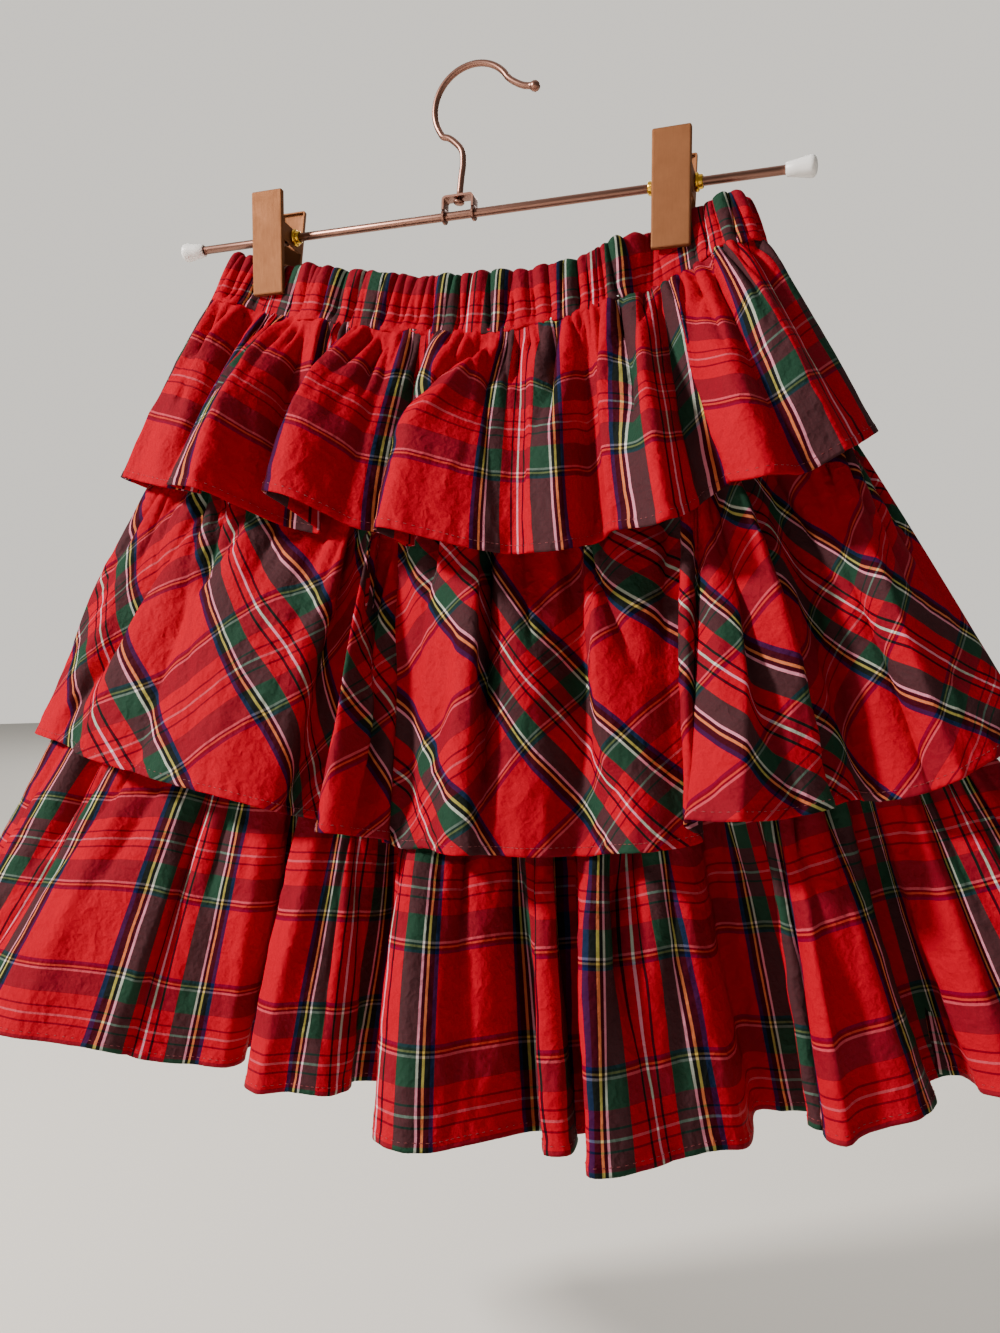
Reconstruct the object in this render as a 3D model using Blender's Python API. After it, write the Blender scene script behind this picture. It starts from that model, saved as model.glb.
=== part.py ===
"""Tiered ruffle skirt held by the two clips of a metal clip hanger.

Frame: metres, +Z up, the front of the skirt faces -Y. The origin is the point inside the top of the
hanger's hook where a rod or a wall hook carries it. Sizes below are millimetres.

The cloth is a set of rings, one inside the next down the body: the waistband ring, the base ring that
carries the lower ruffles, and for each ruffle a seam ring and a hem ring. A ruffle is the surface
between its two rings. Each hem ring is a closed curve through the rows of a fold table, and the cut
length along it tells how far round the flat cloth each fold stands.
"""

import bmesh
import bpy
import numpy as np
from mathutils import Matrix, Vector

MM = 0.001
GAP = 0.3

# Cloth walls.
BAND_WALL = 3.2
BASE_WALL = 1.2
RUFFLE_WALL = 1.5
BAND_ROWS, BAND_COLUMNS = 2, 40
BASE_ROWS, BASE_COLUMNS = 2, 32
RUFFLE_ROWS = 4
# Room between the band's seam and the edges under it, between a ruffle's seam edge and the base, and
# at the sides.
SEAM_ROOM = 0.4
LAYER_ROOM = 0.8
SIDE_ROOM = 1.5

# Waist ring: half width, half depth to the front and to the back, and its middle, at the top edge
# of the band and at its seam.
WAIST_TOP = {"middle": -1.0, "half_width": 139.0, "front": 18.0, "back": 13.0}
WAIST_SEAM = {"middle": -3.5, "half_width": 149.0, "front": 19.0, "back": 14.0}
# Heights of the band: place across, top edge, seam.
BAND_HEIGHTS = (
    (-153, -76, -104),
    (-127, -84, -113),
    (-103, -92, -121),
    (-73, -101, -130),
    (-31, -111, -140),
    (7, -115, -145),
    (38, -116, -145),
    (62, -113, -141),
    (84, -104, -134),
    (114, -92, -121),
    (133, -88, -113),
    (146, -92, -112),
)
# How bluntly every ring turns at the sides: 1 is an ellipse, less is blunter.
SIDE_TURN = 0.7
# Half the angle that each side seam takes out of a ring.
SEAM_TURN = 0.0009
# Each clip presses the two layers of the band together over this half width.
PINCH_WIDTH = 20.0
PINCH_GAP = 2.3
SEAM_PINCH = 0.8

# Base rings that carry ruffles 2 and 3: heights at the middle and at the sides.
BASE_MIDDLE = {"middle": -2.0, "half_width": 171.0, "front": 27.0, "back": 9.0}
BASE_MIDDLE_HEIGHTS = (-225.0, -184.0)
BASE_LOW = {"middle": -4.0, "half_width": 222.0, "front": 31.0, "back": 10.0}
BASE_LOW_HEIGHTS = (-360.0, -312.0)
BASE_TAIL = 4.0

# Hanger: the rod's tilt, the hook wire and its loop, the rod and its end caps.
HANGER_TILT = np.radians(0.85)
WIRE_RADIUS = 1.65
LOOP_RADIUS = 21.5
ROD_RADIUS = 2.15
ROD_HEIGHT = -76.3
ROD_ENDS = (-171.0, 164.0)
ROD_BORE = ROD_RADIUS + GAP
CAP_LENGTH = 14.0
CAP_RADII = (3.2, 5.2)
CAP_BORE_DEPTH = 9.0
# Hook wire past the top of its loop: across and height of each point of its centre line.
HOOK_TIP = ((30.4, -15.6), (27.2, -14.8), (23.6, -12.9))
HOOK_STEM = ((-14.6, -34.4), (-9.4, -38.2), (-6.0, -42.6), (-5.2, -49.0), (-6.0, -57.0), (-6.6, -64.0))
LOOP_START, LOOP_END = np.radians(31.0), np.radians(221.0)
BALL_RADIUS = 2.7
RIVET_RADIUS = 2.8
BRACKET = {"across": -6.8, "width": 17.5, "deep": 7.0, "top": -66.6, "low": -80.6, "wall": 1.3}
# Clips: where each stands on the rod, its pressed plates, the ears round the rod, spring and bushings.
CLIPS = (
    {"name": "left", "across": -113.5},
    {"name": "right", "across": 104.5},
)
PLATE_WIDTH = 18.6
PLATE_WALL = 1.0
PLATE_TOP, PLATE_LOW = 21.0, -33.5
PLATE_LIP = 2.6
PLATE_FACE_TOP, PLATE_FACE_LOW = 14.6, 9.4
EAR_HALF, EAR_REACH = 4.6, 3.6
EAR_TIP = 0.7
EAR_ROOT = 2.0
HOLLOW_REACH = -12.0
SPRING_RADIUS = 3.6
BUSH = {"flange_radius": 4.4, "flange": 1.7, "collar_radius": 3.3, "collar": 2.0}

COLOURS = {
    "red cloth": {"colour": (0.62, 0.02, 0.03), "roughness": 0.75, "metallic": 0.0},
    "rose gold wire": {"colour": (0.66, 0.42, 0.34), "roughness": 0.28, "metallic": 1.0},
    "copper plate": {"colour": (0.62, 0.38, 0.24), "roughness": 0.42, "metallic": 1.0},
    "gold bushing": {"colour": (0.83, 0.60, 0.16), "roughness": 0.3, "metallic": 1.0},
    "white cap": {"colour": (0.86, 0.86, 0.84), "roughness": 0.4, "metallic": 0.0},
}

# Fold tables of the hems: cut length from the first side seam, place of the same yarn along the seam
# above, then across, depth and height of the hem there. Front rows first, left side to right side.
RUFFLE_1_FRONT = (
    (10, -152, -208, -8, -203),
    (42, -137, -174, -32, -212),
    (64, -118, -151, -40, -218),
    (84, -113, -137, -34, -220),
    (107, -108, -142, -49, -219),
    (119, -103, -119, -58, -224),
    (138, -88, -99, -55, -232),
    (157, -73, -80, -47, -240),
    (181, -66, -61, -43, -244),
    (204, -59, -75, -61, -229),
    (212, -56, -65, -68, -231),
    (232, -40, -44, -65, -240),
    (249, -27, -28, -59, -247),
    (258, -21, -21, -54, -248),
    (276, -13, -11, -49, -253),
    (297, -5, -16, -68, -249),
    (304, -1, -9, -74, -250),
    (322, 12, 12, -72, -255),
    (341, 24, 29, -68, -259),
    (368, 36, 49, -60, -261),
    (390, 51, 71, -66, -261),
    (412, 65, 80, -54, -256),
    (433, 76, 96, -58, -252),
    (451, 88, 114, -67, -252),
    (470, 98, 126, -56, -243),
    (485, 106, 136, -48, -233),
    (506, 115, 154, -60, -234),
    (527, 124, 171, -50, -229),
    (550, 134, 185, -34, -218),
    (573, 144, 195, -8, -205),
)
RUFFLE_2_FRONT = (
    (-84, -172, -262, -10, -350),
    (-56, -160, -230, -34, -351),
    (-30, -149, -208, -42, -354),
    (0, -132, -165, -58, -362),
    (28, -114, -123, -66, -368),
    (56, -92, -91, -68, -373),
    (83, -49, -68, -62, -379),
    (102, -45, -70, -51, -382),
    (130, -42, -57, -47, -383),
    (158, -41, -46, -66, -386),
    (170, -35, -36, -72, -385),
    (196, -29, -31, -56, -389),
    (222, -25, -12, -58, -390),
    (233, -22, -7, -54, -392),
    (260, -2, 12, -62, -391),
    (276, 15, 27, -70, -391),
    (288, 19, 36, -66, -391),
    (325, 38, 62, -62, -391),
    (353, 60, 84, -52, -390),
    (362, 64, 91, -58, -388),
    (390, 85, 111, -62, -385),
    (407, 109, 125, -52, -383),
    (420, 113, 127, -49, -380),
    (433, 117, 119, -66, -372),
    (458, 120, 139, -70, -370),
    (482, 123, 160, -62, -369),
    (503, 127, 181, -54, -364),
    (522, 132, 186, -37, -363),
    (546, 141, 193, -32, -363),
    (559, 148, 200, -36, -362),
    (582, 161, 216, -40, -357),
    (612, 170, 236, -30, -345),
    (645, 176, 258, -6, -336),
)
RUFFLE_3_FRONT = (
    (-85, -224, -345, -6, -504),
    (-62, -216, -330, -30, -504),
    (-30, -205, -296, -52, -504),
    (5, -184, -254, -66, -503),
    (33, -164, -222, -70, -501),
    (52, -150, -193, -68, -501),
    (72, -132, -162, -64, -503),
    (92, -118, -145, -56, -506),
    (113, -101, -126, -46, -509),
    (137, -80, -104, -36, -509),
    (158, -77, -109, -21, -508),
    (172, -74, -103, -11, -508),
    (186, -70, -90, -13, -508),
    (232, -60, -77, -58, -508),
    (250, -44, -58, -58, -507),
    (276, -34, -38, -54, -508),
    (283, -29, -36, -48, -509),
    (296, -24, -38, -37, -511),
    (314, -18, -22, -33, -512),
    (334, -13, -4, -44, -511),
    (366, -8, 0, -80, -510),
    (391, 8, 23, -84, -510),
    (414, 24, 41, -76, -508),
    (438, 38, 59, -60, -509),
    (459, 49, 70, -64, -512),
    (470, 55, 77, -66, -511),
    (482, 60, 81, -52, -511),
    (500, 66, 85, -45, -512),
    (524, 78, 92, -72, -512),
    (552, 91, 116, -60, -510),
    (574, 101, 133, -46, -508),
    (590, 112, 144, -32, -510),
    (606, 120, 146, -14, -505),
    (622, 129, 160, -13, -503),
    (640, 137, 171, -17, -501),
    (655, 144, 169, -34, -497),
    (671, 152, 179, -40, -498),
    (690, 160, 195, -36, -493),
    (710, 167, 212, -28, -488),
    (722, 173, 218, -21, -487),
    (742, 180, 222, -6, -483),
    (766, 188, 233, -8, -478),
    (790, 197, 247, -28, -475),
    (815, 204, 265, -26, -470),
    (840, 210, 283, -17, -464),
    (862, 214, 298, -20, -458),
    (890, 218, 319, -4, -452),
)


class Ruffle:
    """One gathered tier: its hem table, its seam ring and how it falls from one to the other."""

    def __init__(self, name, front_rows, back_folds, fall, seam):
        self.name = name
        self.front_rows = np.array(front_rows, dtype=float)
        self.back_folds = back_folds
        self.fall = fall
        self.seam = seam
        self.rows = np.vstack([self.front_rows, self.back_rows()])
        self.cut_round = self.rows[-1, 0] + self.back_folds["pitch"] - self.rows[0, 0]

    def back_rows(self):
        """Rows of the hidden back hem: plain soft folds, uneven in depth, right side to left side."""
        first, last = self.front_rows[0], self.front_rows[-1]
        folds = self.back_folds
        count = folds["count"]
        step = np.arange(1, count)
        share = step / count
        uneven = np.sin(step * 2.4) * 0.22
        across = last[2] + (first[2] - last[2]) * (share + uneven / count)
        deep = np.where(step % 2 == 0, folds["near"], folds["far"]) + 3.0 * np.sin(step * 1.7)
        edge = np.minimum(1.0, 5.0 * np.minimum(share, 1.0 - share))
        deep = deep * edge + folds["near"] * (1.0 - edge)
        side = last[4] + (first[4] - last[4]) * share
        height = side + (folds["low"] - side) * np.sin(np.pi * share)
        cut = last[0] + folds["pitch"] * step
        seam_place = np.zeros(count - 1)  # seam_angle spreads the back evenly, so this column is unused
        return np.column_stack([cut, seam_place, across, deep, height])

    def ends(self):
        """Cut lengths of the left and the right side seams."""
        return self.front_rows[0, 0], self.front_rows[-1, 0]

    def seam_angle(self, cut):
        """Angle round the seam ring of each cut length: -90 degrees left, 0 front, 90 right."""
        left, right = self.ends()
        middle, half = self.seam.middle, self.seam.half_width
        reach = np.clip((self.front_rows[:, 1] - middle) / half, -1.0, 1.0)
        angle = np.arcsin(reach)
        angle[0], angle[-1] = -np.pi / 2, np.pi / 2
        cut = left + (cut - left) % self.cut_round
        front = curve_through(self.front_rows[:, 0], angle, np.clip(cut, left, right))
        behind = np.pi / 2 + np.pi * (cut - right) / (self.cut_round - (right - left))
        return np.where(cut <= right, front, behind)

    def hem(self, cut):
        """Points of the hem ring at the cut lengths given."""
        period = self.cut_round
        sides = [curve_through(self.rows[:, 0], self.rows[:, k], cut, period) for k in (2, 3, 4)]
        return np.stack(sides, axis=-1)

    def sheet(self, cut, rows):
        """Grid of points, one row for each share of the way down, one column for each cut length."""
        top = self.seam.at(self.seam_angle(cut))
        hem = self.hem(cut)
        down = np.linspace(0.0, 1.0, rows + 1)[:, None]
        across = down ** self.fall["across"]
        deep = 1.0 - (1.0 - down) ** self.fall["deep"]
        x = top[:, 0] + (hem[:, 0] - top[:, 0]) * across
        y = top[:, 1] + (hem[:, 1] - top[:, 1]) * deep
        z = top[:, 2] + (hem[:, 2] - top[:, 2]) * down
        return np.stack([x, y, z], axis=-1)


class Ring:
    """A flattened ring round the body, moved outward by a set distance and widened at the sides."""

    def __init__(self, shape, height_at, outward=0.0, wider=0.0, pinch=0.0):
        self.middle = shape["middle"]
        self.half_width = shape["half_width"] + wider
        self.front = shape["front"]
        self.back = shape["back"]
        self.height_at = height_at
        self.outward = outward
        self.pinch = pinch

    def at(self, angle):
        """Points of the ring at the angles given."""
        points = self.plain(angle)
        step = 0.002
        along = self.plain(angle + step) - self.plain(angle - step)
        outward = np.stack([-along[:, 1], along[:, 0]], axis=-1)
        outward = -outward / np.linalg.norm(outward, axis=1, keepdims=True)
        points[:, :2] += outward * self.outward
        return points

    def plain(self, angle):
        """Points of the ring before it is moved outward."""
        x = self.middle + self.half_width * np.sin(angle)
        deep = np.where(np.cos(angle) > 0.0, self.front, self.back)
        y = -deep * np.sign(np.cos(angle)) * np.abs(np.cos(angle)) ** SIDE_TURN
        if self.pinch > 0.0:
            y = pinched(x, y, self.pinch)
        return np.stack([x, y, self.height_at(x)], axis=-1)


def curve_through(knots, values, places, period=None):
    """Smooth curve through the values at the knots, read at the places; closed where a period is given."""
    knots = np.asarray(knots, dtype=float)
    values = np.asarray(values, dtype=float)
    places = np.asarray(places, dtype=float)
    if period is not None:
        places = knots[0] + (places - knots[0]) % period
        knots = np.concatenate([knots[-2:] - period, knots, knots[:2] + period])
        values = np.concatenate([values[-2:], values, values[:2]])
    slopes = np.gradient(values, knots)
    index = np.clip(np.searchsorted(knots, places, side="right") - 1, 0, len(knots) - 2)
    width = knots[index + 1] - knots[index]
    t = (places - knots[index]) / width
    start, end = values[index], values[index + 1]
    rise = 3.0 * t**2 - 2.0 * t**3
    leave = (t - 2.0 * t**2 + t**3) * width * slopes[index]
    arrive = (t**3 - t**2) * width * slopes[index + 1]
    return start + (end - start) * rise + leave + arrive


def pinched(x, y, strength):
    """Depths y with the ring pressed flat between the jaws of each clip."""
    for clip in CLIPS:
        near = strength * np.exp(-(((x - clip["across"]) / PINCH_WIDTH) ** 4))
        y = y * (1.0 - near) + np.sign(y) * PINCH_GAP * near
    return y


def band_height(column):
    """Function that gives the top edge (1) or the seam (2) height of the band at places across."""
    table = np.array(BAND_HEIGHTS, dtype=float)
    places, heights = table[:, 0], table[:, column]

    def at(x):
        return curve_through(places, heights, np.clip(x, places[0], places[-1]))

    return at


def bowed_height(shape, heights, down=0.0):
    """Function that gives the height of a base ring, lowest in the middle and raised at the sides."""
    middle, side = heights

    def at(x):
        reach = np.clip((x - shape["middle"]) / shape["half_width"], -1.0, 1.0)
        return middle + (side - middle) * reach**2 - down

    return at


def between(first, second, rows, angle, reach=1.0):
    """Grid of points from one ring to another, and past it where reach is over 1."""
    top, low = first.at(angle), second.at(angle)
    down = np.linspace(0.0, reach, rows + 1)[:, None, None]
    return top + (low - top) * down


def clear_scene():
    """Removes every object and mesh."""
    for thing in list(bpy.data.objects):
        bpy.data.objects.remove(thing, do_unlink=True)


def finish(name):
    """The Principled material of that name, made once."""
    found = bpy.data.materials.get(name)
    if found:
        return found
    material = bpy.data.materials.new(name)
    material.use_nodes = True
    shader = material.node_tree.nodes["Principled BSDF"]
    look = COLOURS[name]
    shader.inputs["Base Color"].default_value = (*look["colour"], 1.0)
    shader.inputs["Roughness"].default_value = look["roughness"]
    shader.inputs["Metallic"].default_value = look["metallic"]
    material.diffuse_color = (*look["colour"], 1.0)
    return material


def solid(name, points, faces, finish_name):
    """Object made of points in millimetres and faces, turned so that its faces look outward."""
    mesh = bpy.data.meshes.new(name)
    mesh.from_pydata([tuple(MM * value for value in point) for point in points], [], faces)
    work = bmesh.new()
    work.from_mesh(mesh)
    bmesh.ops.remove_doubles(work, verts=work.verts, dist=1e-7)
    bmesh.ops.recalc_face_normals(work, faces=work.faces)
    if work.calc_volume(signed=True) < 0.0:
        bmesh.ops.reverse_faces(work, faces=work.faces)
    work.to_mesh(mesh)
    work.free()
    mesh.materials.append(finish(finish_name))
    thing = bpy.data.objects.new(name, mesh)
    bpy.context.scene.collection.objects.link(thing)
    return thing


def sheet_normals(grid):
    """Unit normal of the sheet at each point of a grid."""
    down = np.gradient(grid, axis=0)
    along = np.gradient(grid, axis=1)
    normal = np.cross(along, down)
    return normal / np.linalg.norm(normal, axis=2, keepdims=True)


def cloth_panel(name, grid, wall):
    """Closed panel with half its wall on each side of a grid of points.

    The first and the last column lie past the side seams: they only steer the walls there.
    """
    normal = sheet_normals(grid)[:, 1:-1] * (wall / 2.0)
    normal[0, :, 2] = 0.0
    grid = grid[:, 1:-1]
    rows, columns = grid.shape[:2]
    points = np.concatenate([(grid + normal).reshape(-1, 3), (grid - normal).reshape(-1, 3)])
    other = rows * columns
    faces = []
    for r in range(rows - 1):
        for c in range(columns - 1):
            a = r * columns + c
            face = (a, a + 1, a + columns + 1, a + columns)
            faces.append(face)
            faces.append(tuple(other + k for k in reversed(face)))
    border = list(range(columns))
    border += [r * columns + columns - 1 for r in range(1, rows)]
    border += [(rows - 1) * columns + c for c in range(columns - 2, -1, -1)]
    border += [r * columns for r in range(rows - 2, 0, -1)]
    for k, a in enumerate(border):
        b = border[(k + 1) % len(border)]
        faces.append((b, a, other + a, other + b))
    return solid(name, points.tolist(), faces, "red cloth")


def past_seams(places, before, after):
    """The places given with one more past each end, at the distances given."""
    return np.concatenate([[places[0] - before], places, [places[-1] + after]])


def with_middles(places):
    """The places given and the place halfway between each two of them."""
    return np.sort(np.concatenate([places, (places[1:] + places[:-1]) / 2.0]))


def angles_of(side, columns):
    """Even angles round a ring for the front or the back panel, a little short of the side seams."""
    start = -np.pi / 2 if side == "front" else np.pi / 2
    angles = np.linspace(start + SEAM_TURN, start + np.pi - SEAM_TURN, columns + 1)
    return past_seams(angles, np.pi / columns, np.pi / columns)


def build_waistband():
    """Two panels of the doubled band."""
    top = Ring(WAIST_TOP, band_height(1), pinch=1.0)
    seam = Ring(WAIST_SEAM, band_height(2), pinch=SEAM_PINCH)
    for side in ("front", "back"):
        grid = between(top, seam, BAND_ROWS, angles_of(side, BAND_COLUMNS))
        cloth_panel(f"waistband_{side}", grid, BAND_WALL)


def below_band():
    """Function that gives the height of the edges that are sewn under the band."""
    seam = band_height(2)

    def at(x):
        return seam(x) - SEAM_ROOM

    return at


def base_rings():
    """The three rings of the base, under the band, under ruffle 2 and under ruffle 3."""
    inner = -(LAYER_ROOM + BASE_WALL) / 2.0 - 0.3
    waist = Ring(WAIST_SEAM, below_band(), outward=inner, wider=-2.0, pinch=SEAM_PINCH)
    middle = Ring(BASE_MIDDLE, bowed_height(BASE_MIDDLE, BASE_MIDDLE_HEIGHTS))
    low = Ring(BASE_LOW, bowed_height(BASE_LOW, BASE_LOW_HEIGHTS))
    return waist, middle, low


def build_base():
    """Two plain panels from the band down past the seam of ruffle 3."""
    waist, middle, low = base_rings()
    reach = 1.0 + BASE_TAIL / (BASE_MIDDLE_HEIGHTS[0] - BASE_LOW_HEIGHTS[0])
    for side in ("front", "back"):
        angle = angles_of(side, BASE_COLUMNS)
        upper = between(waist, middle, BASE_ROWS, angle)
        lower = between(middle, low, BASE_ROWS, angle, reach)
        cloth_panel(f"base_{side}", np.concatenate([upper, lower[1:]]), BASE_WALL)


def ruffle_rings():
    """Seam rings of the three ruffles."""
    on_band = (LAYER_ROOM + RUFFLE_WALL) / 2.0 - 0.3
    on_base = (BASE_WALL + RUFFLE_WALL) / 2.0 + LAYER_ROOM
    second_height = bowed_height(BASE_MIDDLE, BASE_MIDDLE_HEIGHTS)
    third_height = bowed_height(BASE_LOW, BASE_LOW_HEIGHTS)
    first = Ring(WAIST_SEAM, below_band(), outward=on_band, pinch=SEAM_PINCH)
    second = Ring(BASE_MIDDLE, second_height, outward=on_base, wider=SIDE_ROOM)
    third = Ring(BASE_LOW, third_height, outward=on_base, wider=SIDE_ROOM)
    return first, second, third


def ruffles():
    """The three ruffles from the top down."""
    first, second, third = ruffle_rings()
    return (
        Ruffle(
            "tier_1",
            RUFFLE_1_FRONT,
            {"count": 17, "pitch": 30.0, "near": 18.0, "far": 26.0, "low": -252.0},
            {"across": 0.95, "deep": 1.5},
            first,
        ),
        Ruffle(
            "tier_2",
            RUFFLE_2_FRONT,
            {"count": 21, "pitch": 34.0, "near": 18.5, "far": 27.0, "low": -386.0},
            {"across": 0.95, "deep": 1.15},
            second,
        ),
        Ruffle(
            "tier_3",
            RUFFLE_3_FRONT,
            {"count": 27, "pitch": 36.0, "near": 6.0, "far": 27.0, "low": -508.0},
            {"across": 1.1, "deep": 1.0},
            third,
        ),
    )


def build_ruffle(ruffle):
    """Front and back panels of one ruffle, with a column at each ridge, valley and slope."""
    left, right = ruffle.ends()
    front = with_middles(ruffle.front_rows[:, 0])
    back_rows = ruffle.rows[len(ruffle.front_rows) :, 0]
    back = with_middles(np.concatenate([[right], back_rows, [left + ruffle.cut_round]]))
    for side, places, other in (("front", front, back), ("back", back, front)):
        drawn_in = places.copy()
        drawn_in[0] += GAP / 2.0
        drawn_in[-1] -= GAP / 2.0
        padded = past_seams(drawn_in, other[-1] - other[-2], other[1] - other[0])
        cloth_panel(f"{ruffle.name}_{side}", ruffle.sheet(padded, RUFFLE_ROWS), RUFFLE_WALL)


def turned(name, profile, finish_name, sides=24):
    """Body turned about the X axis from a closed profile of (along, radius) points."""
    angle = np.linspace(0.0, 2.0 * np.pi, sides, endpoint=False)
    points, rings = [], []
    for along, radius in profile:
        if radius == 0.0:
            rings.append([len(points)] * sides)
            points.append((along, 0.0, 0.0))
            continue
        rings.append([len(points) + k for k in range(sides)])
        points += [(along, radius * np.cos(a), radius * np.sin(a)) for a in angle]
    faces = []
    for first, second in zip(rings, rings[1:] + rings[:1]):
        if first[0] == first[1] and second[0] == second[1]:
            continue
        for k in range(sides):
            n = (k + 1) % sides
            corners = dict.fromkeys((first[k], first[n], second[n], second[k]))
            faces.append(tuple(corners))
    return solid(name, points, faces, finish_name)


def swept(name, path, radii, finish_name, sides=14):
    """Round wire along a path in the XZ plane, its radius given at each point."""
    path = np.array(path, dtype=float)
    along = np.gradient(path, axis=0)
    along /= np.linalg.norm(along, axis=1, keepdims=True)
    angle = np.linspace(0.0, 2.0 * np.pi, sides, endpoint=False)
    points, faces = [], []
    for (x, z), (tx, tz), radius in zip(path, along, radii):
        for a in angle:
            side = radius * np.cos(a)
            points.append((x - tz * side, radius * np.sin(a), z + tx * side))
    for r in range(len(path) - 1):
        for k in range(sides):
            n = (k + 1) % sides
            faces.append((r * sides + k, r * sides + n, (r + 1) * sides + n, (r + 1) * sides + k))
    faces.append(tuple(range(sides)))
    faces.append(tuple(range(len(points) - 1, len(points) - sides - 1, -1)))
    return solid(name, points, faces, finish_name)


def extruded(name, outline, width, finish_name):
    """Prism of a YZ outline, centred on X = 0."""
    count = len(outline)
    points = [(-width / 2.0, y, z) for y, z in outline] + [(width / 2.0, y, z) for y, z in outline]
    faces = [tuple(range(count)), tuple(range(2 * count - 1, count - 1, -1))]
    faces += [(k, (k + 1) % count, count + (k + 1) % count, count + k) for k in range(count)]
    return solid(name, points, faces, finish_name)


def cut_with(thing, cutter):
    """Live exact Boolean that cuts one object from another, with the cutter hidden."""
    cutter.hide_render = True
    cutter.display_type = "WIRE"
    cutter.parent = thing
    boolean = thing.modifiers.new(cutter.name, "BOOLEAN")
    boolean.operation = "DIFFERENCE"
    boolean.solver = "EXACT"
    boolean.object = cutter


def hang(thing, across=0.0):
    """Sets a hanger part at its place along the rod, tilted with the rod."""
    tilt = Matrix.Rotation(HANGER_TILT, 4, "Y")
    on_rod = Vector((MM * across, 0.0, MM * (ROD_HEIGHT - across * np.tan(HANGER_TILT))))
    thing.matrix_world = Matrix.Translation(on_rod) @ tilt


def bar(start, end, radius):
    """Closed profile of a plain round bar along the X axis."""
    return [(start, 0.0), (start, radius), (end, radius), (end, 0.0)]


def tube(start, end, bore, radius):
    """Closed profile of a plain round tube along the X axis."""
    return [(start, bore), (start, radius), (end, radius), (end, bore)]


def mirrored(profile):
    """The profile given, turned to run the other way along the X axis."""
    return [(-along, radius) for along, radius in profile]


def build_rod():
    """Rod with its two flared end caps."""
    left, right = ROD_ENDS
    half = (right - left) / 2.0
    rod = turned("hanger_rod", bar(-half, half, ROD_RADIUS), "rose gold wire")
    hang(rod, (left + right) / 2.0)
    inner, outer = CAP_RADII
    mouth = -CAP_BORE_DEPTH + GAP
    profile = [
        (GAP, 0.0),
        (GAP, ROD_BORE),
        (mouth, ROD_BORE),
        (mouth, inner),
        (mouth + CAP_LENGTH - 1.2, outer),
        (mouth + CAP_LENGTH - 0.4, outer - 0.4),
        (mouth + CAP_LENGTH, outer - 1.4),
        (mouth + CAP_LENGTH, 0.0),
    ]
    hang(turned("rod_cap_right", profile, "white cap"), right)
    hang(turned("rod_cap_left", mirrored(profile), "white cap"), left)


def hook_path():
    """Centre line of the hook wire from its ball end to its rivet, with the radius at each point."""
    centre = WIRE_RADIUS - LOOP_RADIUS
    turn = np.linspace(LOOP_START, LOOP_END, 22)
    loop = [(LOOP_RADIUS * np.cos(a), centre + LOOP_RADIUS * np.sin(a)) for a in turn]
    knots = np.array(list(HOOK_TIP) + loop + list(HOOK_STEM))
    length = np.concatenate([[0.0], np.cumsum(np.linalg.norm(np.diff(knots, axis=0), axis=1))])
    reach = np.linspace(0.0, length[-1], 60)
    wire = np.stack([curve_through(length, knots[:, k], reach) for k in (0, 1)], axis=-1)
    return wire, reach


def unit(step):
    """The vector given, at a length of one."""
    return step / np.linalg.norm(step)


def build_hook():
    """Hook wire with its ball end and the rivet head under the bracket."""
    wire, reach = hook_path()
    away = unit(wire[0] - wire[1])
    tip = np.radians([80.0, 55.0, 25.0, 0.0, -25.0])
    ball = [wire[0] + away * BALL_RADIUS * (1.0 + np.sin(a)) for a in tip]
    ball_radii = [BALL_RADIUS * np.cos(a) for a in tip]
    down = unit(wire[-1] - wire[-2])
    under = abs(wire[-1][1] - BRACKET["top"]) + BRACKET["wall"] + 2.0 * GAP
    rivet = [
        (under, WIRE_RADIUS),
        (under + 0.05, RIVET_RADIUS),
        (under + 1.2, RIVET_RADIUS),
        (under + 1.9, RIVET_RADIUS - 0.9),
    ]
    path = ball + list(wire) + [wire[-1] + down * step for step, _ in rivet]
    radii = ball_radii + [WIRE_RADIUS] * len(reach) + [radius for _, radius in rivet]
    swept("hook_wire", path, radii, "rose gold wire")


def build_bracket():
    """Saddle over the rod: a bent strip with a hole for the rod in each leg and one for the hook."""
    half, wall = BRACKET["width"] / 2.0, BRACKET["wall"]
    inner = half - wall
    top, low = BRACKET["top"] - ROD_HEIGHT, BRACKET["low"] - ROD_HEIGHT
    outside = [(-half, low), (-half, top), (half, top), (half, low)]
    inside = [(inner, low), (inner, top - wall), (-inner, top - wall), (-inner, low)]
    strip = extruded("hook_bracket", outside + inside, BRACKET["deep"], "rose gold wire")
    strip.data.transform(Matrix.Rotation(np.pi / 2.0, 4, "Z"))
    hang(strip, BRACKET["across"])
    cut_with(strip, turned("hole_for_rod", bar(-20.0, 20.0, ROD_BORE), "rose gold wire"))
    stem_hole = turned("hole_for_hook", bar(4.0, 18.0, WIRE_RADIUS + GAP), "rose gold wire")
    stem_hole.data.transform(Matrix.Rotation(-np.pi / 2.0, 4, "Y"))
    cut_with(strip, stem_hole)


def plate_face(z):
    """How far a plate's face stands from the rod's middle at the height z."""
    slope = (PLATE_FACE_TOP - PLATE_FACE_LOW) / (PLATE_TOP - PLATE_LOW)
    return PLATE_FACE_LOW + (z - PLATE_LOW) * slope


def on_side(face_side, heights_and_depths):
    """Outline points for the front plate (face_side -1) or the back plate (face_side 1)."""
    return [(face_side * y, z) for y, z in heights_and_depths]


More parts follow.
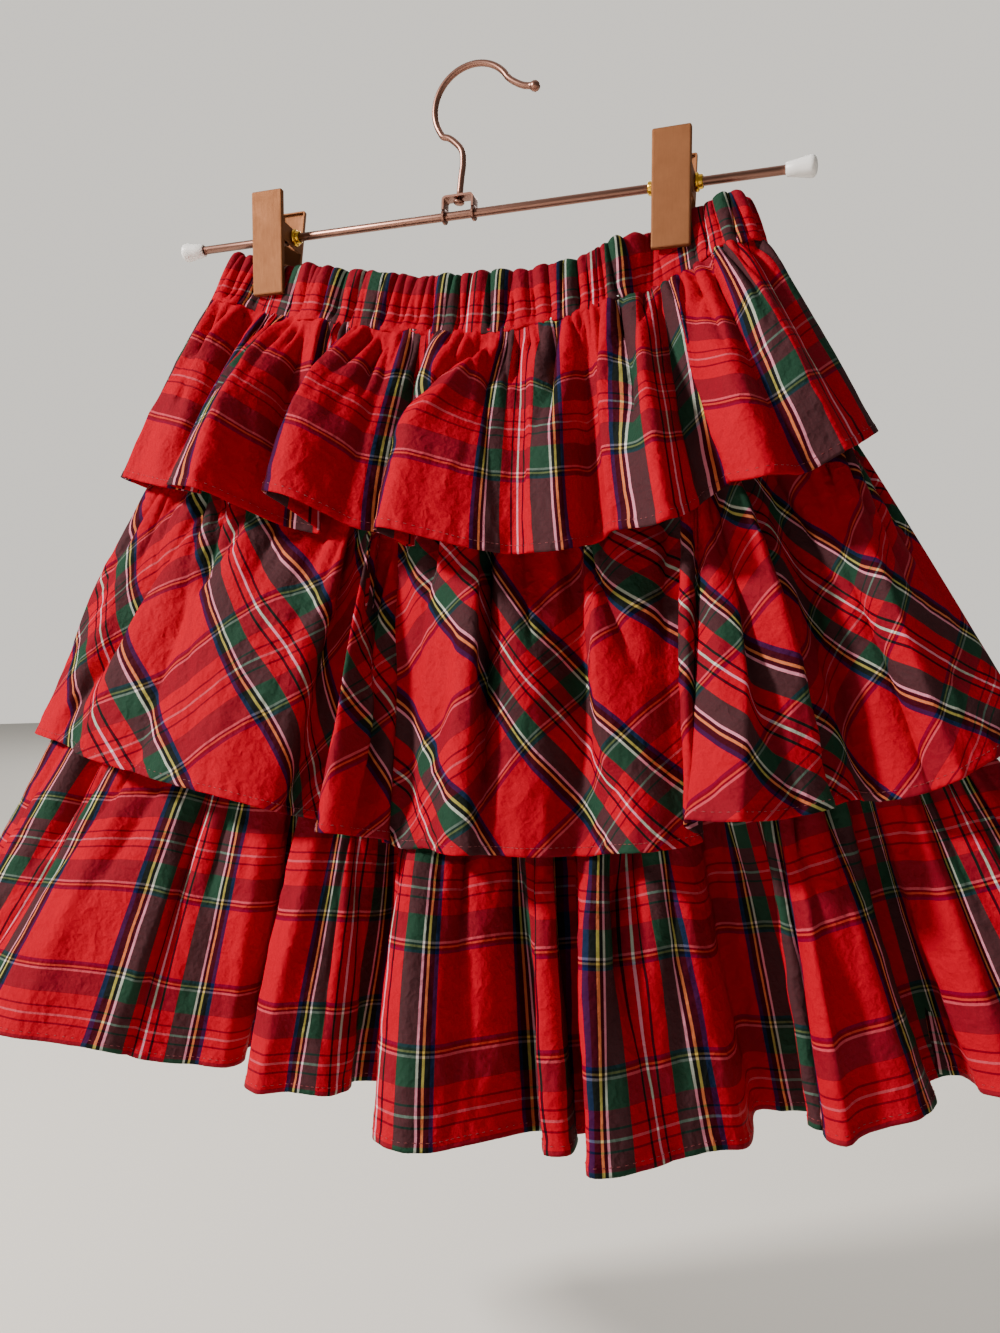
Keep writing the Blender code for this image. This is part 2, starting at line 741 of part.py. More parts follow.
def plate_outline(face_side):
    """Side outline of a clip plate: its face, its lips and the ear round the rod."""
    root = EAR_HALF + EAR_ROOT
    face = [(plate_face(z), z) for z in (PLATE_LOW, PLATE_TOP)]
    upper_lip = [(plate_face(z) - PLATE_LIP, z) for z in (PLATE_TOP, root)]
    lower_lip = [(plate_face(z) - PLATE_LIP, z) for z in (-root, PLATE_LOW)]
    ear = [
        (0.6, EAR_HALF),
        (-EAR_REACH * EAR_TIP, EAR_HALF * EAR_TIP),
        (-EAR_REACH, 0.0),
        (-EAR_REACH * EAR_TIP, -EAR_HALF * EAR_TIP),
        (0.6, -EAR_HALF),
    ]
    return on_side(face_side, face + upper_lip + ear + lower_lip)


def build_plate(name, across, face_side, width):
    """One tray-shaped plate of a clip, open toward the cloth, with ears round the rod."""
    plate = extruded(name, plate_outline(face_side), width, "copper plate")
    hang(plate, across)
    low, top = PLATE_LOW + PLATE_WALL, PLATE_TOP - PLATE_WALL
    face = [(plate_face(z) - PLATE_WALL, z) for z in (low, top)]
    hollow = on_side(face_side, face + [(HOLLOW_REACH, top), (HOLLOW_REACH, low)])
    cut_with(plate, extruded(f"{name}_hollow", hollow, width - 2.0 * PLATE_WALL, "copper plate"))
    cut_with(plate, turned(f"{name}_hole", bar(-20.0, 20.0, ROD_BORE), "copper plate"))


def build_clip(clip):
    """Clip: front and back plates, the spring sleeve between them and a bushing on each side."""
    name, across = clip["name"], clip["across"]
    build_plate(f"clip_{name}_front", across, -1, PLATE_WIDTH)
    inside = PLATE_WIDTH - 2.0 * (PLATE_WALL + GAP)
    build_plate(f"clip_{name}_back", across, 1, inside)
    half = inside / 2.0 - PLATE_WALL - GAP
    sleeve = tube(-half, half, ROD_BORE, SPRING_RADIUS)
    hang(turned(f"clip_{name}_spring", sleeve, "rose gold wire"), across)
    start = PLATE_WIDTH / 2.0 + GAP
    flange = start + BUSH["flange"]
    collar = flange + BUSH["collar"]
    bush = tube(start, flange, ROD_BORE, BUSH["flange_radius"])[:3]
    bush += tube(flange, collar, ROD_BORE, BUSH["collar_radius"])[1:]
    hang(turned(f"clip_{name}_bush_right", bush, "gold bushing"), across)
    hang(turned(f"clip_{name}_bush_left", mirrored(bush), "gold bushing"), across)


def main():
    """Builds the skirt from the waist down, then the hanger."""
    clear_scene()
    build_waistband()
    build_base()
    for ruffle in ruffles():
        build_ruffle(ruffle)
    build_rod()
    build_hook()
    build_bracket()
    for clip in CLIPS:
        build_clip(clip)


main()
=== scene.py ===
"""Tartan skirt with three ruffles on a clip hanger: cloth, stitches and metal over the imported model.

Lengths in the tables are millimetres in the model's frame: X across, Y towards the wall it hangs on,
Z up. The front faces -Y, and the origin is inside the top of the hook. Meshes are written in metres.
"""

import logging
from dataclasses import dataclass, field, replace
from enum import Enum
from typing import Callable, Sequence

import bmesh
import bpy
import numpy as np
from mathutils import Matrix, Vector


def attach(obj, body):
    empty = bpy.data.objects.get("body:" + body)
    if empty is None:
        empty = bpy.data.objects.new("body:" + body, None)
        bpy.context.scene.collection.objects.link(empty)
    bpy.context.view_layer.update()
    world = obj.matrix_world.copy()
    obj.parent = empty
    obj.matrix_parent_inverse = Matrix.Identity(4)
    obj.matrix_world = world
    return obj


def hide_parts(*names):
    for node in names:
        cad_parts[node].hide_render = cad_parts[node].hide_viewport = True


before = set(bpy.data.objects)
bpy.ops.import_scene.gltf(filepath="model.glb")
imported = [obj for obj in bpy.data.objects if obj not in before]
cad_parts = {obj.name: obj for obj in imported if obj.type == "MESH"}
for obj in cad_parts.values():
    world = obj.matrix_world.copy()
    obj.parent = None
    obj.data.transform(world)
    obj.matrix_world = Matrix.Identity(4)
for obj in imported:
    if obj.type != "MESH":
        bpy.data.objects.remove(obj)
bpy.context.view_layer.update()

LOG = logging.getLogger("skirt")
MM = 0.001
WELD = 1e-6
BODY = "root"

Array = np.ndarray
Table = tuple[tuple[float, ...], ...]
Triple = tuple[float, float, float]
Colour = tuple[float, float, float, float]
Socket = bpy.types.NodeSocket
Material = bpy.types.Material
Piece = bpy.types.Object


class Side(Enum):
    """The two panels of every ring of cloth."""

    FRONT = "front"
    BACK = "back"

    @property
    def outward(self) -> float:
        """Which way along Y a panel faces."""
        return -1.0 if self is Side.FRONT else 1.0


class Hold(Enum):
    """How a sheet of cloth is held."""

    GATHERED = "gathered"
    HUNG = "hung"


# Numbers and curves


def paint(red: int, green: int, blue: int) -> Colour:
    """Linear colour of a screen colour.

    Args:
        red: Screen red, from 0 to 255.
        green: The same of green.
        blue: The same of blue.

    Returns:
        Red, green, blue and an alpha of 1, as the shader takes them.
    """
    share = np.array([red, green, blue]) / 255.0
    linear = np.where(share <= 0.04045, share / 12.92, ((share + 0.055) / 1.055) ** 2.4)
    return (*linear.tolist(), 1.0)


def curve_through(knots: Array, values: Array, places: Array, period: float | None = None) -> Array:
    """Smooth curve through values at knots: a cubic in each span, with the slopes of its neighbours.

    Args:
        knots: Increasing places of the known values.
        values: Known values.
        places: Places to read.
        period: Length after which the curve repeats, if it closes.

    Returns:
        The curve's values at the places.
    """
    knots, values = np.asarray(knots, float), np.asarray(values, float)
    places = np.asarray(places, float)
    if period is not None:
        places = knots[0] + (places - knots[0]) % period
        knots = np.concatenate([knots[-2:] - period, knots, knots[:2] + period])
        values = np.concatenate([values[-2:], values, values[:2]])
    slopes = np.gradient(values, knots)
    index = np.clip(np.searchsorted(knots, places, side="right") - 1, 0, len(knots) - 2)
    width = knots[index + 1] - knots[index]
    t = (places - knots[index]) / width
    start, end = values[index], values[index + 1]
    rise = 3.0 * t**2 - 2.0 * t**3
    leave = (t - 2.0 * t**2 + t**3) * width * slopes[index]
    arrive = (t**3 - t**2) * width * slopes[index + 1]
    return start + (end - start) * rise + leave + arrive


def uneven(index: Array, seed: float, least: float = 0.0, most: float = 1.0) -> Array:
    """Fixed scattered numbers: the fraction of a large multiple of a sine of the index.

    Args:
        index: Whole numbers.
        seed: Picks another scatter.
        least: Least number.
        most: Greatest number.

    Returns:
        One number for each index.
    """
    share = np.abs(np.sin(np.asarray(index) * 12.9898 + seed * 78.233) * 43758.5453) % 1.0
    return least + (most - least) * share


def ramp(values: Array, start: float, length: float) -> Array:
    """0 up to a start, then a straight rise to 1 over a length, and 1 from there on."""
    return np.clip((values - start) / length, 0.0, 1.0)


# Step of the lattice numbers from one row of bumps to the next.
ROW_STEP = 157.0


def rolling(x: Array, y: Array, seed: float) -> Array:
    """Smooth bumps about 1 across: lattice heights from -1 to 1 blended by a smooth step both ways.

    Args:
        x: First coordinate.
        y: Second coordinate.
        seed: Picks another set of bumps.

    Returns:
        Height at each point.
    """
    column, row = np.floor(x), np.floor(y)
    fx, fy = x - column, y - row
    fx, fy = fx * fx * (3.0 - 2.0 * fx), fy * fy * (3.0 - 2.0 * fy)

    def corner(dx: int, dy: int) -> Array:
        """Height at one corner of the lattice cell."""
        return uneven((column + dx) + ROW_STEP * (row + dy), seed, -1.0, 1.0)

    top = corner(0, 0) * (1.0 - fx) + corner(1, 0) * fx
    low = corner(0, 1) * (1.0 - fx) + corner(1, 1) * fx
    return top * (1.0 - fy) + low * fy


def kept_in_order(cut: Array, drawn: Array, least: float = 0.2) -> Array:
    """Places after a sideways pull, with neighbours kept at least a share of their distance apart.

    Args:
        cut: Places before, row by row.
        drawn: How far each is pulled.
        least: Least share of the distance that is left.

    Returns:
        The places after, from the same first to the same last place.
    """
    step = np.maximum(np.diff(cut + drawn, axis=1), least * np.diff(cut, axis=1))
    place = np.concatenate([cut[:, :1], cut[:, :1] + np.cumsum(step, axis=1)], axis=1)
    share = (cut - cut[:, :1]) / (cut[:, -1:] - cut[:, :1])
    return place - (place[:, -1:] - cut[:, -1:]) * share


def unit(vectors: Array) -> Array:
    """Vectors scaled to a length of 1 along the last axis."""
    return vectors / np.maximum(np.linalg.norm(vectors, axis=-1, keepdims=True), 1e-12)


def circle(angle: Array) -> Array:
    """Points at some angles of a circle of radius 1: their cosines and sines."""
    return np.stack([np.cos(angle), np.sin(angle)], axis=-1)


def way_along(points: Array) -> Array:
    """Distance along a line from its first point to each of its points."""
    steps = np.linalg.norm(np.diff(points, axis=0), axis=-1)
    return np.concatenate([np.zeros_like(steps[:1]), np.cumsum(steps, axis=0)])


def outward_of(grid: Array) -> Array:
    """Outward unit normals of a cloth grid: its way down crossed with its way round.

    Args:
        grid: Points by row down and column round.

    Returns:
        One normal for each point.
    """
    return unit(np.cross(np.gradient(grid, axis=0), np.gradient(grid, axis=1)))


# Shader nodes


class Value:
    """A number socket that takes part in arithmetic; each operation adds a Math node."""

    def __init__(self, nodes: "Nodes", socket: Socket) -> None:
        """Wraps a socket of a node tree."""
        self.nodes = nodes
        self.socket = socket

    def math(self, operation: str, *others: "Value | float", flip: bool = False) -> "Value":
        """One Math node on this value.

        Args:
            operation: The node's operation.
            others: The other operands.
            flip: Puts this value second.

        Returns:
            The result.
        """
        operands = [self, *others]
        if flip:
            operands.reverse()
        node = self.nodes.add("ShaderNodeMath", {"operation": operation}, dict(enumerate(operands)))
        return Value(self.nodes, node.outputs[0])

    def __add__(self, other: "Value | float") -> "Value":
        """Sum."""
        return self.math("ADD", other)

    __radd__ = __add__

    def __sub__(self, other: "Value | float") -> "Value":
        """Difference."""
        return self.math("SUBTRACT", other)

    def __rsub__(self, other: float) -> "Value":
        """Difference from a number."""
        return self.math("SUBTRACT", other, flip=True)

    def __mul__(self, other: "Value | float") -> "Value":
        """Product."""
        return self.math("MULTIPLY", other)

    __rmul__ = __mul__

    def __truediv__(self, other: "Value | float") -> "Value":
        """Quotient."""
        return self.math("DIVIDE", other)

    def wave(self) -> "Value":
        """Sine."""
        return self.math("SINE")

    def to_and_fro(self, span: float) -> "Value":
        """Distance from the nearest even multiple of the span, up to the span."""
        return self.math("PINGPONG", span)


class Nodes:
    """A material's node tree."""

    def __init__(self, name: str) -> None:
        """Starts a material with a Principled shader.

        Args:
            name: The material's name.
        """
        self.material = bpy.data.materials.new(name)
        self.material.use_nodes = True
        self.tree = self.material.node_tree
        self.shader = self.tree.nodes["Principled BSDF"]

    def add(self, kind: str, settings: dict | None = None, inputs: dict | None = None) -> bpy.types.Node:
        """Adds a node: its settings first, then its inputs.

        Args:
            kind: The node's type.
            settings: Its properties, with "stops" for the colours of a ramp.
            inputs: Values, sockets or wrapped values by input name or number.

        Returns:
            The node.
        """
        node = self.tree.nodes.new(kind)
        for name, value in (settings or {}).items():
            if name == "stops":
                self.set_stops(node, value)
            else:
                setattr(node, name, value)
        self.feed(node, inputs or {})
        return node

    def feed(self, node: bpy.types.Node, inputs: dict) -> None:
        """Sets or links the inputs of a node.

        Args:
            node: The node.
            inputs: Values, sockets or wrapped values by input name or number.
        """
        for key, value in inputs.items():
            socket = node.inputs[key]
            if isinstance(value, Value):
                value = value.socket
            if isinstance(value, Socket):
                self.tree.links.new(value, socket)
            else:
                socket.default_value = value

    def set_stops(self, node: bpy.types.Node, stops: Sequence[tuple[float, tuple]]) -> None:
        """Sets the stops of a colour ramp, which then holds each colour until the next.

        Args:
            node: The ramp.
            stops: Where each colour starts, and the colour.
        """
        node.color_ramp.interpolation = "CONSTANT"
        steps = node.color_ramp.elements
        while len(steps) > 1:
            steps.remove(steps[-1])
        steps[0].position, steps[0].color = stops[0]
        for position, colour in stops[1:]:
            steps.new(position).color = colour

    def value(self, node: bpy.types.Node, output: str | int = 0) -> Value:
        """A node's output as a value."""
        return Value(self, node.outputs[output])

    def mix(self, factor: Value | float, first: object, second: object, mode: str = "MIX") -> Socket:
        """Mixes two colours.

        Args:
            factor: Share of the second.
            first: First colour or socket.
            second: Second colour or socket.
            mode: How the second acts on the first.

        Returns:
            The mixed colour's socket.
        """
        settings = {"data_type": "RGBA", "blend_type": mode}
        factor_in, first_in, second_in, colour_out = 0, 6, 7, 2
        inputs = {factor_in: factor, first_in: first, second_in: second}
        return self.add("ShaderNodeMix", settings, inputs).outputs[colour_out]

    def noise(self, where: object, scale: float, detail: float = 2.0, roughness: float = 0.5) -> Value:
        """Noise from 0 to 1 at a place.

        Args:
            where: Coordinate socket.
            scale: Bumps in each metre.
            detail: Finer layers.
            roughness: Strength of the finer layers.

        Returns:
            The noise.
        """
        inputs = {"Vector": where, "Scale": scale, "Detail": detail, "Roughness": roughness}
        return self.value(self.add("ShaderNodeTexNoise", {}, inputs))

    def place(self) -> Socket:
        """Object coordinates."""
        return self.add("ShaderNodeTexCoord").outputs["Object"]

    def stretched(self, where: object, scale: Triple) -> Socket:
        """A coordinate with each axis scaled."""
        return self.add("ShaderNodeMapping", {}, {"Vector": where, "Scale": scale}).outputs[0]

    def bump(self, height: Value, distance: float, strength: float, over: Socket | None = None) -> Socket:
        """Normals of a height.

        Args:
            height: The height, from 0 to about 1.
            distance: Metres that a height of 1 stands for.
            strength: Share of the bump that shows.
            over: Normals of a coarser bump under this one.

        Returns:
            The normals' socket.
        """
        inputs = {"Height": height, "Distance": distance, "Strength": strength}
        if over:
            inputs["Normal"] = over
        return self.add("ShaderNodeBump", {}, inputs).outputs[0]

    def finished(self, inputs: dict) -> Material:
        """Feeds the shader and gives the material."""
        self.feed(self.shader, inputs)
        return self.material


# Finishes

RED = paint(174, 3, 31)
GREEN = paint(32, 61, 49)
WEFT_GREEN = paint(41, 69, 45)
NAVY = paint(16, 24, 68)
INK = paint(16, 12, 18)
YELLOW = paint(208, 176, 84)
WHITE = paint(222, 214, 210)

# Half a repeat of the tartan, mirrored at both ends: the end of each band from the middle of the thin
# white line, in the warp and in the weft, and its colour in each.
BANDS = (
    (0.45, 0.45, WHITE, WHITE),
    (3.2, 3.7, RED, RED),
    (4.3, 4.6, INK, INK),
    (10.6, 11.2, RED, RED),
    (19.0, 22.3, GREEN, WEFT_GREEN),
    (20.1, 23.4, WHITE, WHITE),
    (21.5, 24.3, INK, INK),
    (22.6, 25.3, YELLOW, YELLOW),
    (24.9, 26.4, INK, INK),
    (26.7, 27.6, NAVY, NAVY),
    (46.0, 46.0, RED, RED),
)
WARP_BANDS = tuple((warp, colour) for warp, _, colour, _ in BANDS)
WEFT_BANDS = tuple((weft, colour) for _, weft, _, colour in BANDS)


@dataclass(frozen=True)
class TartanFinish:
    """Crisp yarn-dyed cloth, its pattern on the grain coordinates of each piece."""

    name: str = "tartan cloth"
    half_repeat: float = 46.0
    warp_share: float = 0.73
    depth: float = 0.72
    yarn: float = 0.36
    darkest: float = 0.0004
    roughness: float = 0.58
    gloss: float = 0.02
    wear: Colour = paint(214, 206, 206)

    def bands(self, nodes: Nodes, across: Value, table: Table, power: float = 1.0) -> Socket:
        """Colour of one set of yarns: a mirrored repeat read from a table of bands.

        Args:
            nodes: The material's nodes.
            across: Distance across the yarns.
            table: The bands.
            power: Power that each colour is raised to.

        Returns:
            The colour's socket.
        """
        half = self.half_repeat * MM
        share = across.to_and_fro(half) / half
        starts = [0.0] + [end / self.half_repeat for end, _ in table[:-1]]
        colours = [tuple(max(part, self.darkest) ** power for part in colour) for _, colour in table]
        settings = {"stops": list(zip(starts, colours))}
        return nodes.add("ShaderNodeValToRGB", settings, {"Fac": share}).outputs["Color"]

    @staticmethod
    def ridges(nodes: Nodes, place: Socket, scale: float) -> Value:
        """Sharp-crested noise, as in crumpled crisp cloth: 1 less twice its distance from the middle."""
        return 1.0 - (nodes.noise(place, scale, 3.0, 0.55) * 2.0 - 1.0).math("ABSOLUTE")

    def material(self) -> Material:
        """Builds the material.

        Returns:
            The cloth with its two sets of coloured yarns, weave, slubs and fine creases.
        """
        nodes = Nodes(self.name)
        grain = nodes.add("ShaderNodeUVMap", {"uv_map": "grain"}).outputs["UV"]
        split = nodes.add("ShaderNodeSeparateXYZ", {}, {0: grain})
        across, along = nodes.value(split, 0), nodes.value(split, 1)
        warp = self.bands(nodes, across, WARP_BANDS)
        weft = self.bands(nodes, along, WEFT_BANDS)
        deep_warp = self.bands(nodes, across, WARP_BANDS, self.warp_share)
        deep_weft = self.bands(nodes, along, WEFT_BANDS, 1.0 - self.warp_share)
        deep = nodes.mix(1.0, deep_warp, deep_weft, "MULTIPLY")
        slub_down = nodes.noise(nodes.stretched(grain, (1800.0, 60.0, 1.0)), 1.0, 1.0)
        slub_across = nodes.noise(nodes.stretched(grain, (60.0, 1800.0, 1.0)), 1.0, 1.0)
        turn = 2.0 * np.pi / (self.yarn * MM)
        weave = (across * turn).wave() * (along * turn).wave()
        share = 1.0 - self.warp_share + (slub_down - slub_across) * 0.16 + weave * 0.06
        colour = nodes.mix(self.depth, nodes.mix(share, warp, weft), deep)
        place = nodes.place()
        colour = nodes.mix(nodes.noise(place, 22.0, 3.0) * 0.5, colour, self.wear, "MULTIPLY")
        crumple = self.ridges(nodes, place, 55.0) + self.ridges(nodes, place, 150.0) * 0.4
        yarns = (slub_down + slub_across) * 0.5 + weave * 0.35
        inputs = {
            "Base Color": colour,
            "Roughness": self.roughness + (slub_down - 0.5) * 0.2,
            "Normal": nodes.bump(yarns, 0.00012, 0.5, over=nodes.bump(crumple, 0.002, 0.9)),
            "Specular IOR Level": self.gloss,
        }
        return nodes.finished(inputs)


@dataclass(frozen=True)
class PlainClothFinish:
    """Plain thin cloth of one dye, as inside the skirt, or thread."""

    name: str
    colour: Colour
    roughness: float = 0.75
    sheen: float = 0.2

    def material(self) -> Material:
        """Builds the material.

        Returns:
            Cloth with a faint mottle, fine threads and soft creases.
        """
        nodes = Nodes(self.name)
        place = nodes.place()
        mottle = nodes.noise(place, 60.0, 3.0)
        threads = nodes.noise(nodes.stretched(place, (2400.0, 2400.0, 500.0)), 1.0, 1.0)
        deep = nodes.mix(1.0, self.colour, paint(196, 190, 190), "MULTIPLY")
        colour = nodes.mix(mottle * 0.8, self.colour, deep)
        normal = nodes.bump(threads * 0.1 + nodes.noise(place, 110.0, 3.0), 0.0011, 0.5)
        roughness = self.roughness + (threads - 0.5) * 0.1
        inputs = {"Base Color": colour, "Roughness": roughness, "Normal": normal, "Sheen Weight": self.sheen}
        return nodes.finished(inputs)


@dataclass(frozen=True)
class MetalFinish:
    """Plated metal with faint brushing and small handling marks."""

    name: str
    colour: Colour
    dull: Colour
    roughness: float
    brushing: Triple

    def material(self) -> Material:
        """Builds the material.

        Returns:
            Metal whose colour and roughness vary a little with brushing and marks.
        """
        nodes = Nodes(self.name)
        place = nodes.place()
        brushed = nodes.noise(nodes.stretched(place, self.brushing), 1.0, 2.0)
        marks = nodes.noise(place, 130.0, 4.0, 0.65)
        colour = nodes.mix(marks * 0.7, self.colour, self.dull)
        roughness = self.roughness + (brushed - 0.5) * 0.12 + (marks - 0.5) * 0.12
        normal = nodes.bump(brushed + marks * 0.3, 0.00004, 0.3)
        inputs = {"Base Color": colour, "Roughness": roughness, "Normal": normal, "Metallic": 1.0}
        return nodes.finished(inputs)


@dataclass(frozen=True)
class PlasticFinish:
    """Soft moulded plastic."""

    name: str
    colour: Colour
    roughness: float = 0.38

    def material(self) -> Material:
        """Builds the material.

        Returns:
            Plastic with a faint moulded mottle.
        """
        nodes = Nodes(self.name)
        place = nodes.place()
        mottle = nodes.noise(place, 180.0, 3.0)
        colour = nodes.mix(mottle * 0.25, self.colour, paint(206, 200, 192))
        normal = nodes.bump(nodes.noise(place, 500.0, 1.0), 0.00002, 0.3)
        roughness = self.roughness + (mottle - 0.5) * 0.12
        return nodes.finished({"Base Color": colour, "Roughness": roughness, "Normal": normal})


ROSE, DULL_ROSE = paint(154, 112, 98), paint(134, 96, 82)
COPPER, DULL_COPPER = paint(150, 102, 70), paint(136, 90, 60)
STEEL, DULL_STEEL = paint(176, 140, 120), paint(120, 90, 76)
GOLD, DULL_GOLD = paint(238, 190, 70), paint(206, 150, 40)
# Bumps in each metre of metal brushed along the hanger, and of metal brushed down.
ALONG, DOWN = (30.0, 900.0, 900.0), (1400.0, 1400.0, 40.0)


def made(finish: TartanFinish | PlainClothFinish | MetalFinish | PlasticFinish) -> Material:
    """Field that holds a finish's material, built with the others."""
    return field(default_factory=finish.material)


@dataclass(frozen=True)
class Finishes:
    """Every material of the skirt and its hanger, each made once."""

    tartan: Material = made(TartanFinish())
    lining: Material = made(PlainClothFinish("plain red base cloth", paint(168, 16, 24)))
    thread: Material = made(PlainClothFinish("hem thread", paint(126, 16, 26), 0.6))
    wire: Material = made(MetalFinish("rose gold wire", ROSE, DULL_ROSE, 0.36, ALONG))
    plate: Material = made(MetalFinish("copper plate", COPPER, DULL_COPPER, 0.74, DOWN))
    spring: Material = made(MetalFinish("spring wire", STEEL, DULL_STEEL, 0.35, ALONG))
    bushing: Material = made(MetalFinish("gold bushing", GOLD, DULL_GOLD, 0.26, ALONG))
    cap: Material = made(PlasticFinish("white end cap", paint(247, 246, 244)))


# Meshes


def grid_faces(rows: int, columns: int, closed: bool = False) -> Array:
    """Quads of a grid of points, row by row.

    Args:
        rows: Rows of points.
        columns: Columns of points.
        closed: Joins the last column to the first.

    Returns:
        Corner numbers, four to a face.
    """
    number = np.arange(rows * columns).reshape(rows, columns)
    if closed:
        number = np.column_stack([number, number[:, 0]])
    quads = [number[:-1, :-1], number[:-1, 1:], number[1:, 1:], number[1:, :-1]]
    return np.stack(quads, axis=-1).reshape(-1, 4)


def linked(name: str, data: bpy.types.ID) -> Piece:
    """Puts an object in the scene, at the origin.

    Args:
        name: Its name.
        data: Its mesh, light or camera.

    Returns:
        The object.
    """
    thing = bpy.data.objects.new(name, data)
    bpy.context.scene.collection.objects.link(thing)
    return thing


def smooth_object(mesh: bpy.types.Mesh, material: Material) -> Piece:
    """Puts a mesh in the scene, smooth and with one finish.

    Args:
        mesh: The mesh.
        material: Its finish.

    Returns:
        The object, under the mesh's name.
    """
    mesh.shade_smooth()
    mesh.materials.append(material)
    return linked(mesh.name, mesh)


@dataclass
class Parts:
    """Points and faces gathered from several closed shapes for one mesh."""

    points: list[Array] = field(default_factory=list)
    faces: list[Array] = field(default_factory=list)

    def put(self, points: Array, faces: Array) -> None:
        """Adds a shape.

        Args:
            points: Its points, in millimetres.
            faces: Its faces, as numbers of its own points.
        """
        self.faces.append(faces + sum(map(len, self.points)))
        self.points.append(points.reshape(-1, 3))

    def put_rings(self, rings: Array) -> None:
        """Adds a body of rings of points, its first and last ring drawn together to a middle point.

        Args:
            rings: Points by ring and place round it.
        """
        rows, columns = rings.shape[:2]
        middles = rings[[0, -1]].mean(axis=1, keepdims=True)
        start, end = np.repeat(middles[:1], columns, 1), np.repeat(middles[1:], columns, 1)
        self.put(np.concatenate([start, rings, end]), grid_faces(rows + 2, columns, closed=True))

    def put_tube(self, rings: Array) -> None:
        """Adds a ring-shaped body: its rings of points close on themselves both ways."""
        rows, columns = rings.shape[:2]
        self.put(np.concatenate([rings, rings[:1]]), grid_faces(rows + 1, columns, closed=True))

    def object(self, name: str, material: Material, sharp: float = 180.0) -> Piece:
        """Welds the points, turns the faces outward and makes the object.

        Args:
            name: Its name.
            material: Its finish.
            sharp: Degrees past which an edge is sharp.

        Returns:
            The object, at the origin.
        """
        mesh = bpy.data.meshes.new(name)
        points = np.concatenate(self.points) * MM
        mesh.from_pydata(points.tolist(), [], np.concatenate(self.faces).tolist())
        work = bmesh.new()
        work.from_mesh(mesh)
        bmesh.ops.remove_doubles(work, verts=work.verts, dist=WELD)
        bmesh.ops.recalc_face_normals(work, faces=work.faces)
        work.to_mesh(mesh)
        work.free()
        thing = smooth_object(mesh, material)
        if sharp < 180.0:
            mesh.set_sharp_from_angle(angle=np.radians(sharp))
        return thing


def dressed(thing: Piece, slot: str, *nodes: str) -> Piece:
    """Puts a piece on the body in place of the nodes it stands for.

    Args:
        thing: The piece.
        slot: The record's material slot; not used.
        nodes: The model's nodes it replaces.

    Returns:
        The piece.
    """
    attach(thing, BODY)
    if nodes:
        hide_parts(*nodes)
    LOG.info("%s: %d faces", thing.name, len(thing.data.polygons))
    return thing


@dataclass
class Cloth:
    """A sheet as points down and round, its wall and its grain coordinates in millimetres."""

    grid: Array
    wall: Array
    grain: Array

    def object(self, name: str, material: Material) -> Piece:
        """Closed shell with half its wall on each side of the grid.

        Args:
            name: Its name.
            material: Its finish.

        Returns:
            The object, with its grain coordinates in metres as a UV map.
        """
        rows, columns = self.grid.shape[:2]
        half = outward_of(self.grid) * self.wall[..., None] / 2.0
        points = np.concatenate([(self.grid + half).reshape(-1, 3), (self.grid - half).reshape(-1, 3)])
        outer = grid_faces(rows, columns)[:, ::-1]
        inner = grid_faces(rows, columns) + rows * columns
        number = np.arange(rows * columns).reshape(rows, columns)
        rim = np.concatenate([number[0], number[1:, -1], number[-1, -2::-1], number[-2:0:-1, 0]])
        after = np.roll(rim, -1)
        edge = np.stack([rim, after, after + rows * columns, rim + rows * columns], axis=-1)
        faces = np.concatenate([outer, inner, edge])
        mesh = bpy.data.meshes.new(name)
        mesh.from_pydata((points * MM).tolist(), [], faces.tolist())
        flat = np.tile(self.grain.reshape(-1, 2), (2, 1))
        layer = mesh.uv_layers.new(name="grain")
        corners = np.zeros(len(mesh.loops), np.int32)
        mesh.loops.foreach_get("vertex_index", corners)
        layer.data.foreach_set("uv", (flat[corners] * MM).ravel())
        return smooth_object(mesh, material)


# The rings of the body

SIDE_TURN = 0.7
CLIP_PLACES = (-113.5, 104.5)
PINCH_WIDTH = 20.0
PINCH_GAP = 2.3
# Heights of the waistband: place across, top edge, seam.
BAND_HEIGHTS = (
    (-153, -76, -104), (-127, -84, -113), (-103, -92, -121), (-73, -101, -130), (-31, -111, -140),
    (7, -115, -145), (38, -116, -145), (62, -113, -141), (84, -104, -134), (114, -92, -121),
    (133, -88, -113), (146, -92, -112),
)


def near_clips(across: Array, wide: float, power: int) -> list[Array]:
    """A flat-topped bell of 1 at each clip: the exponential of minus a power of the distance."""
    return [np.exp(-(((across - clip) / wide) ** power)) for clip in CLIP_PLACES]


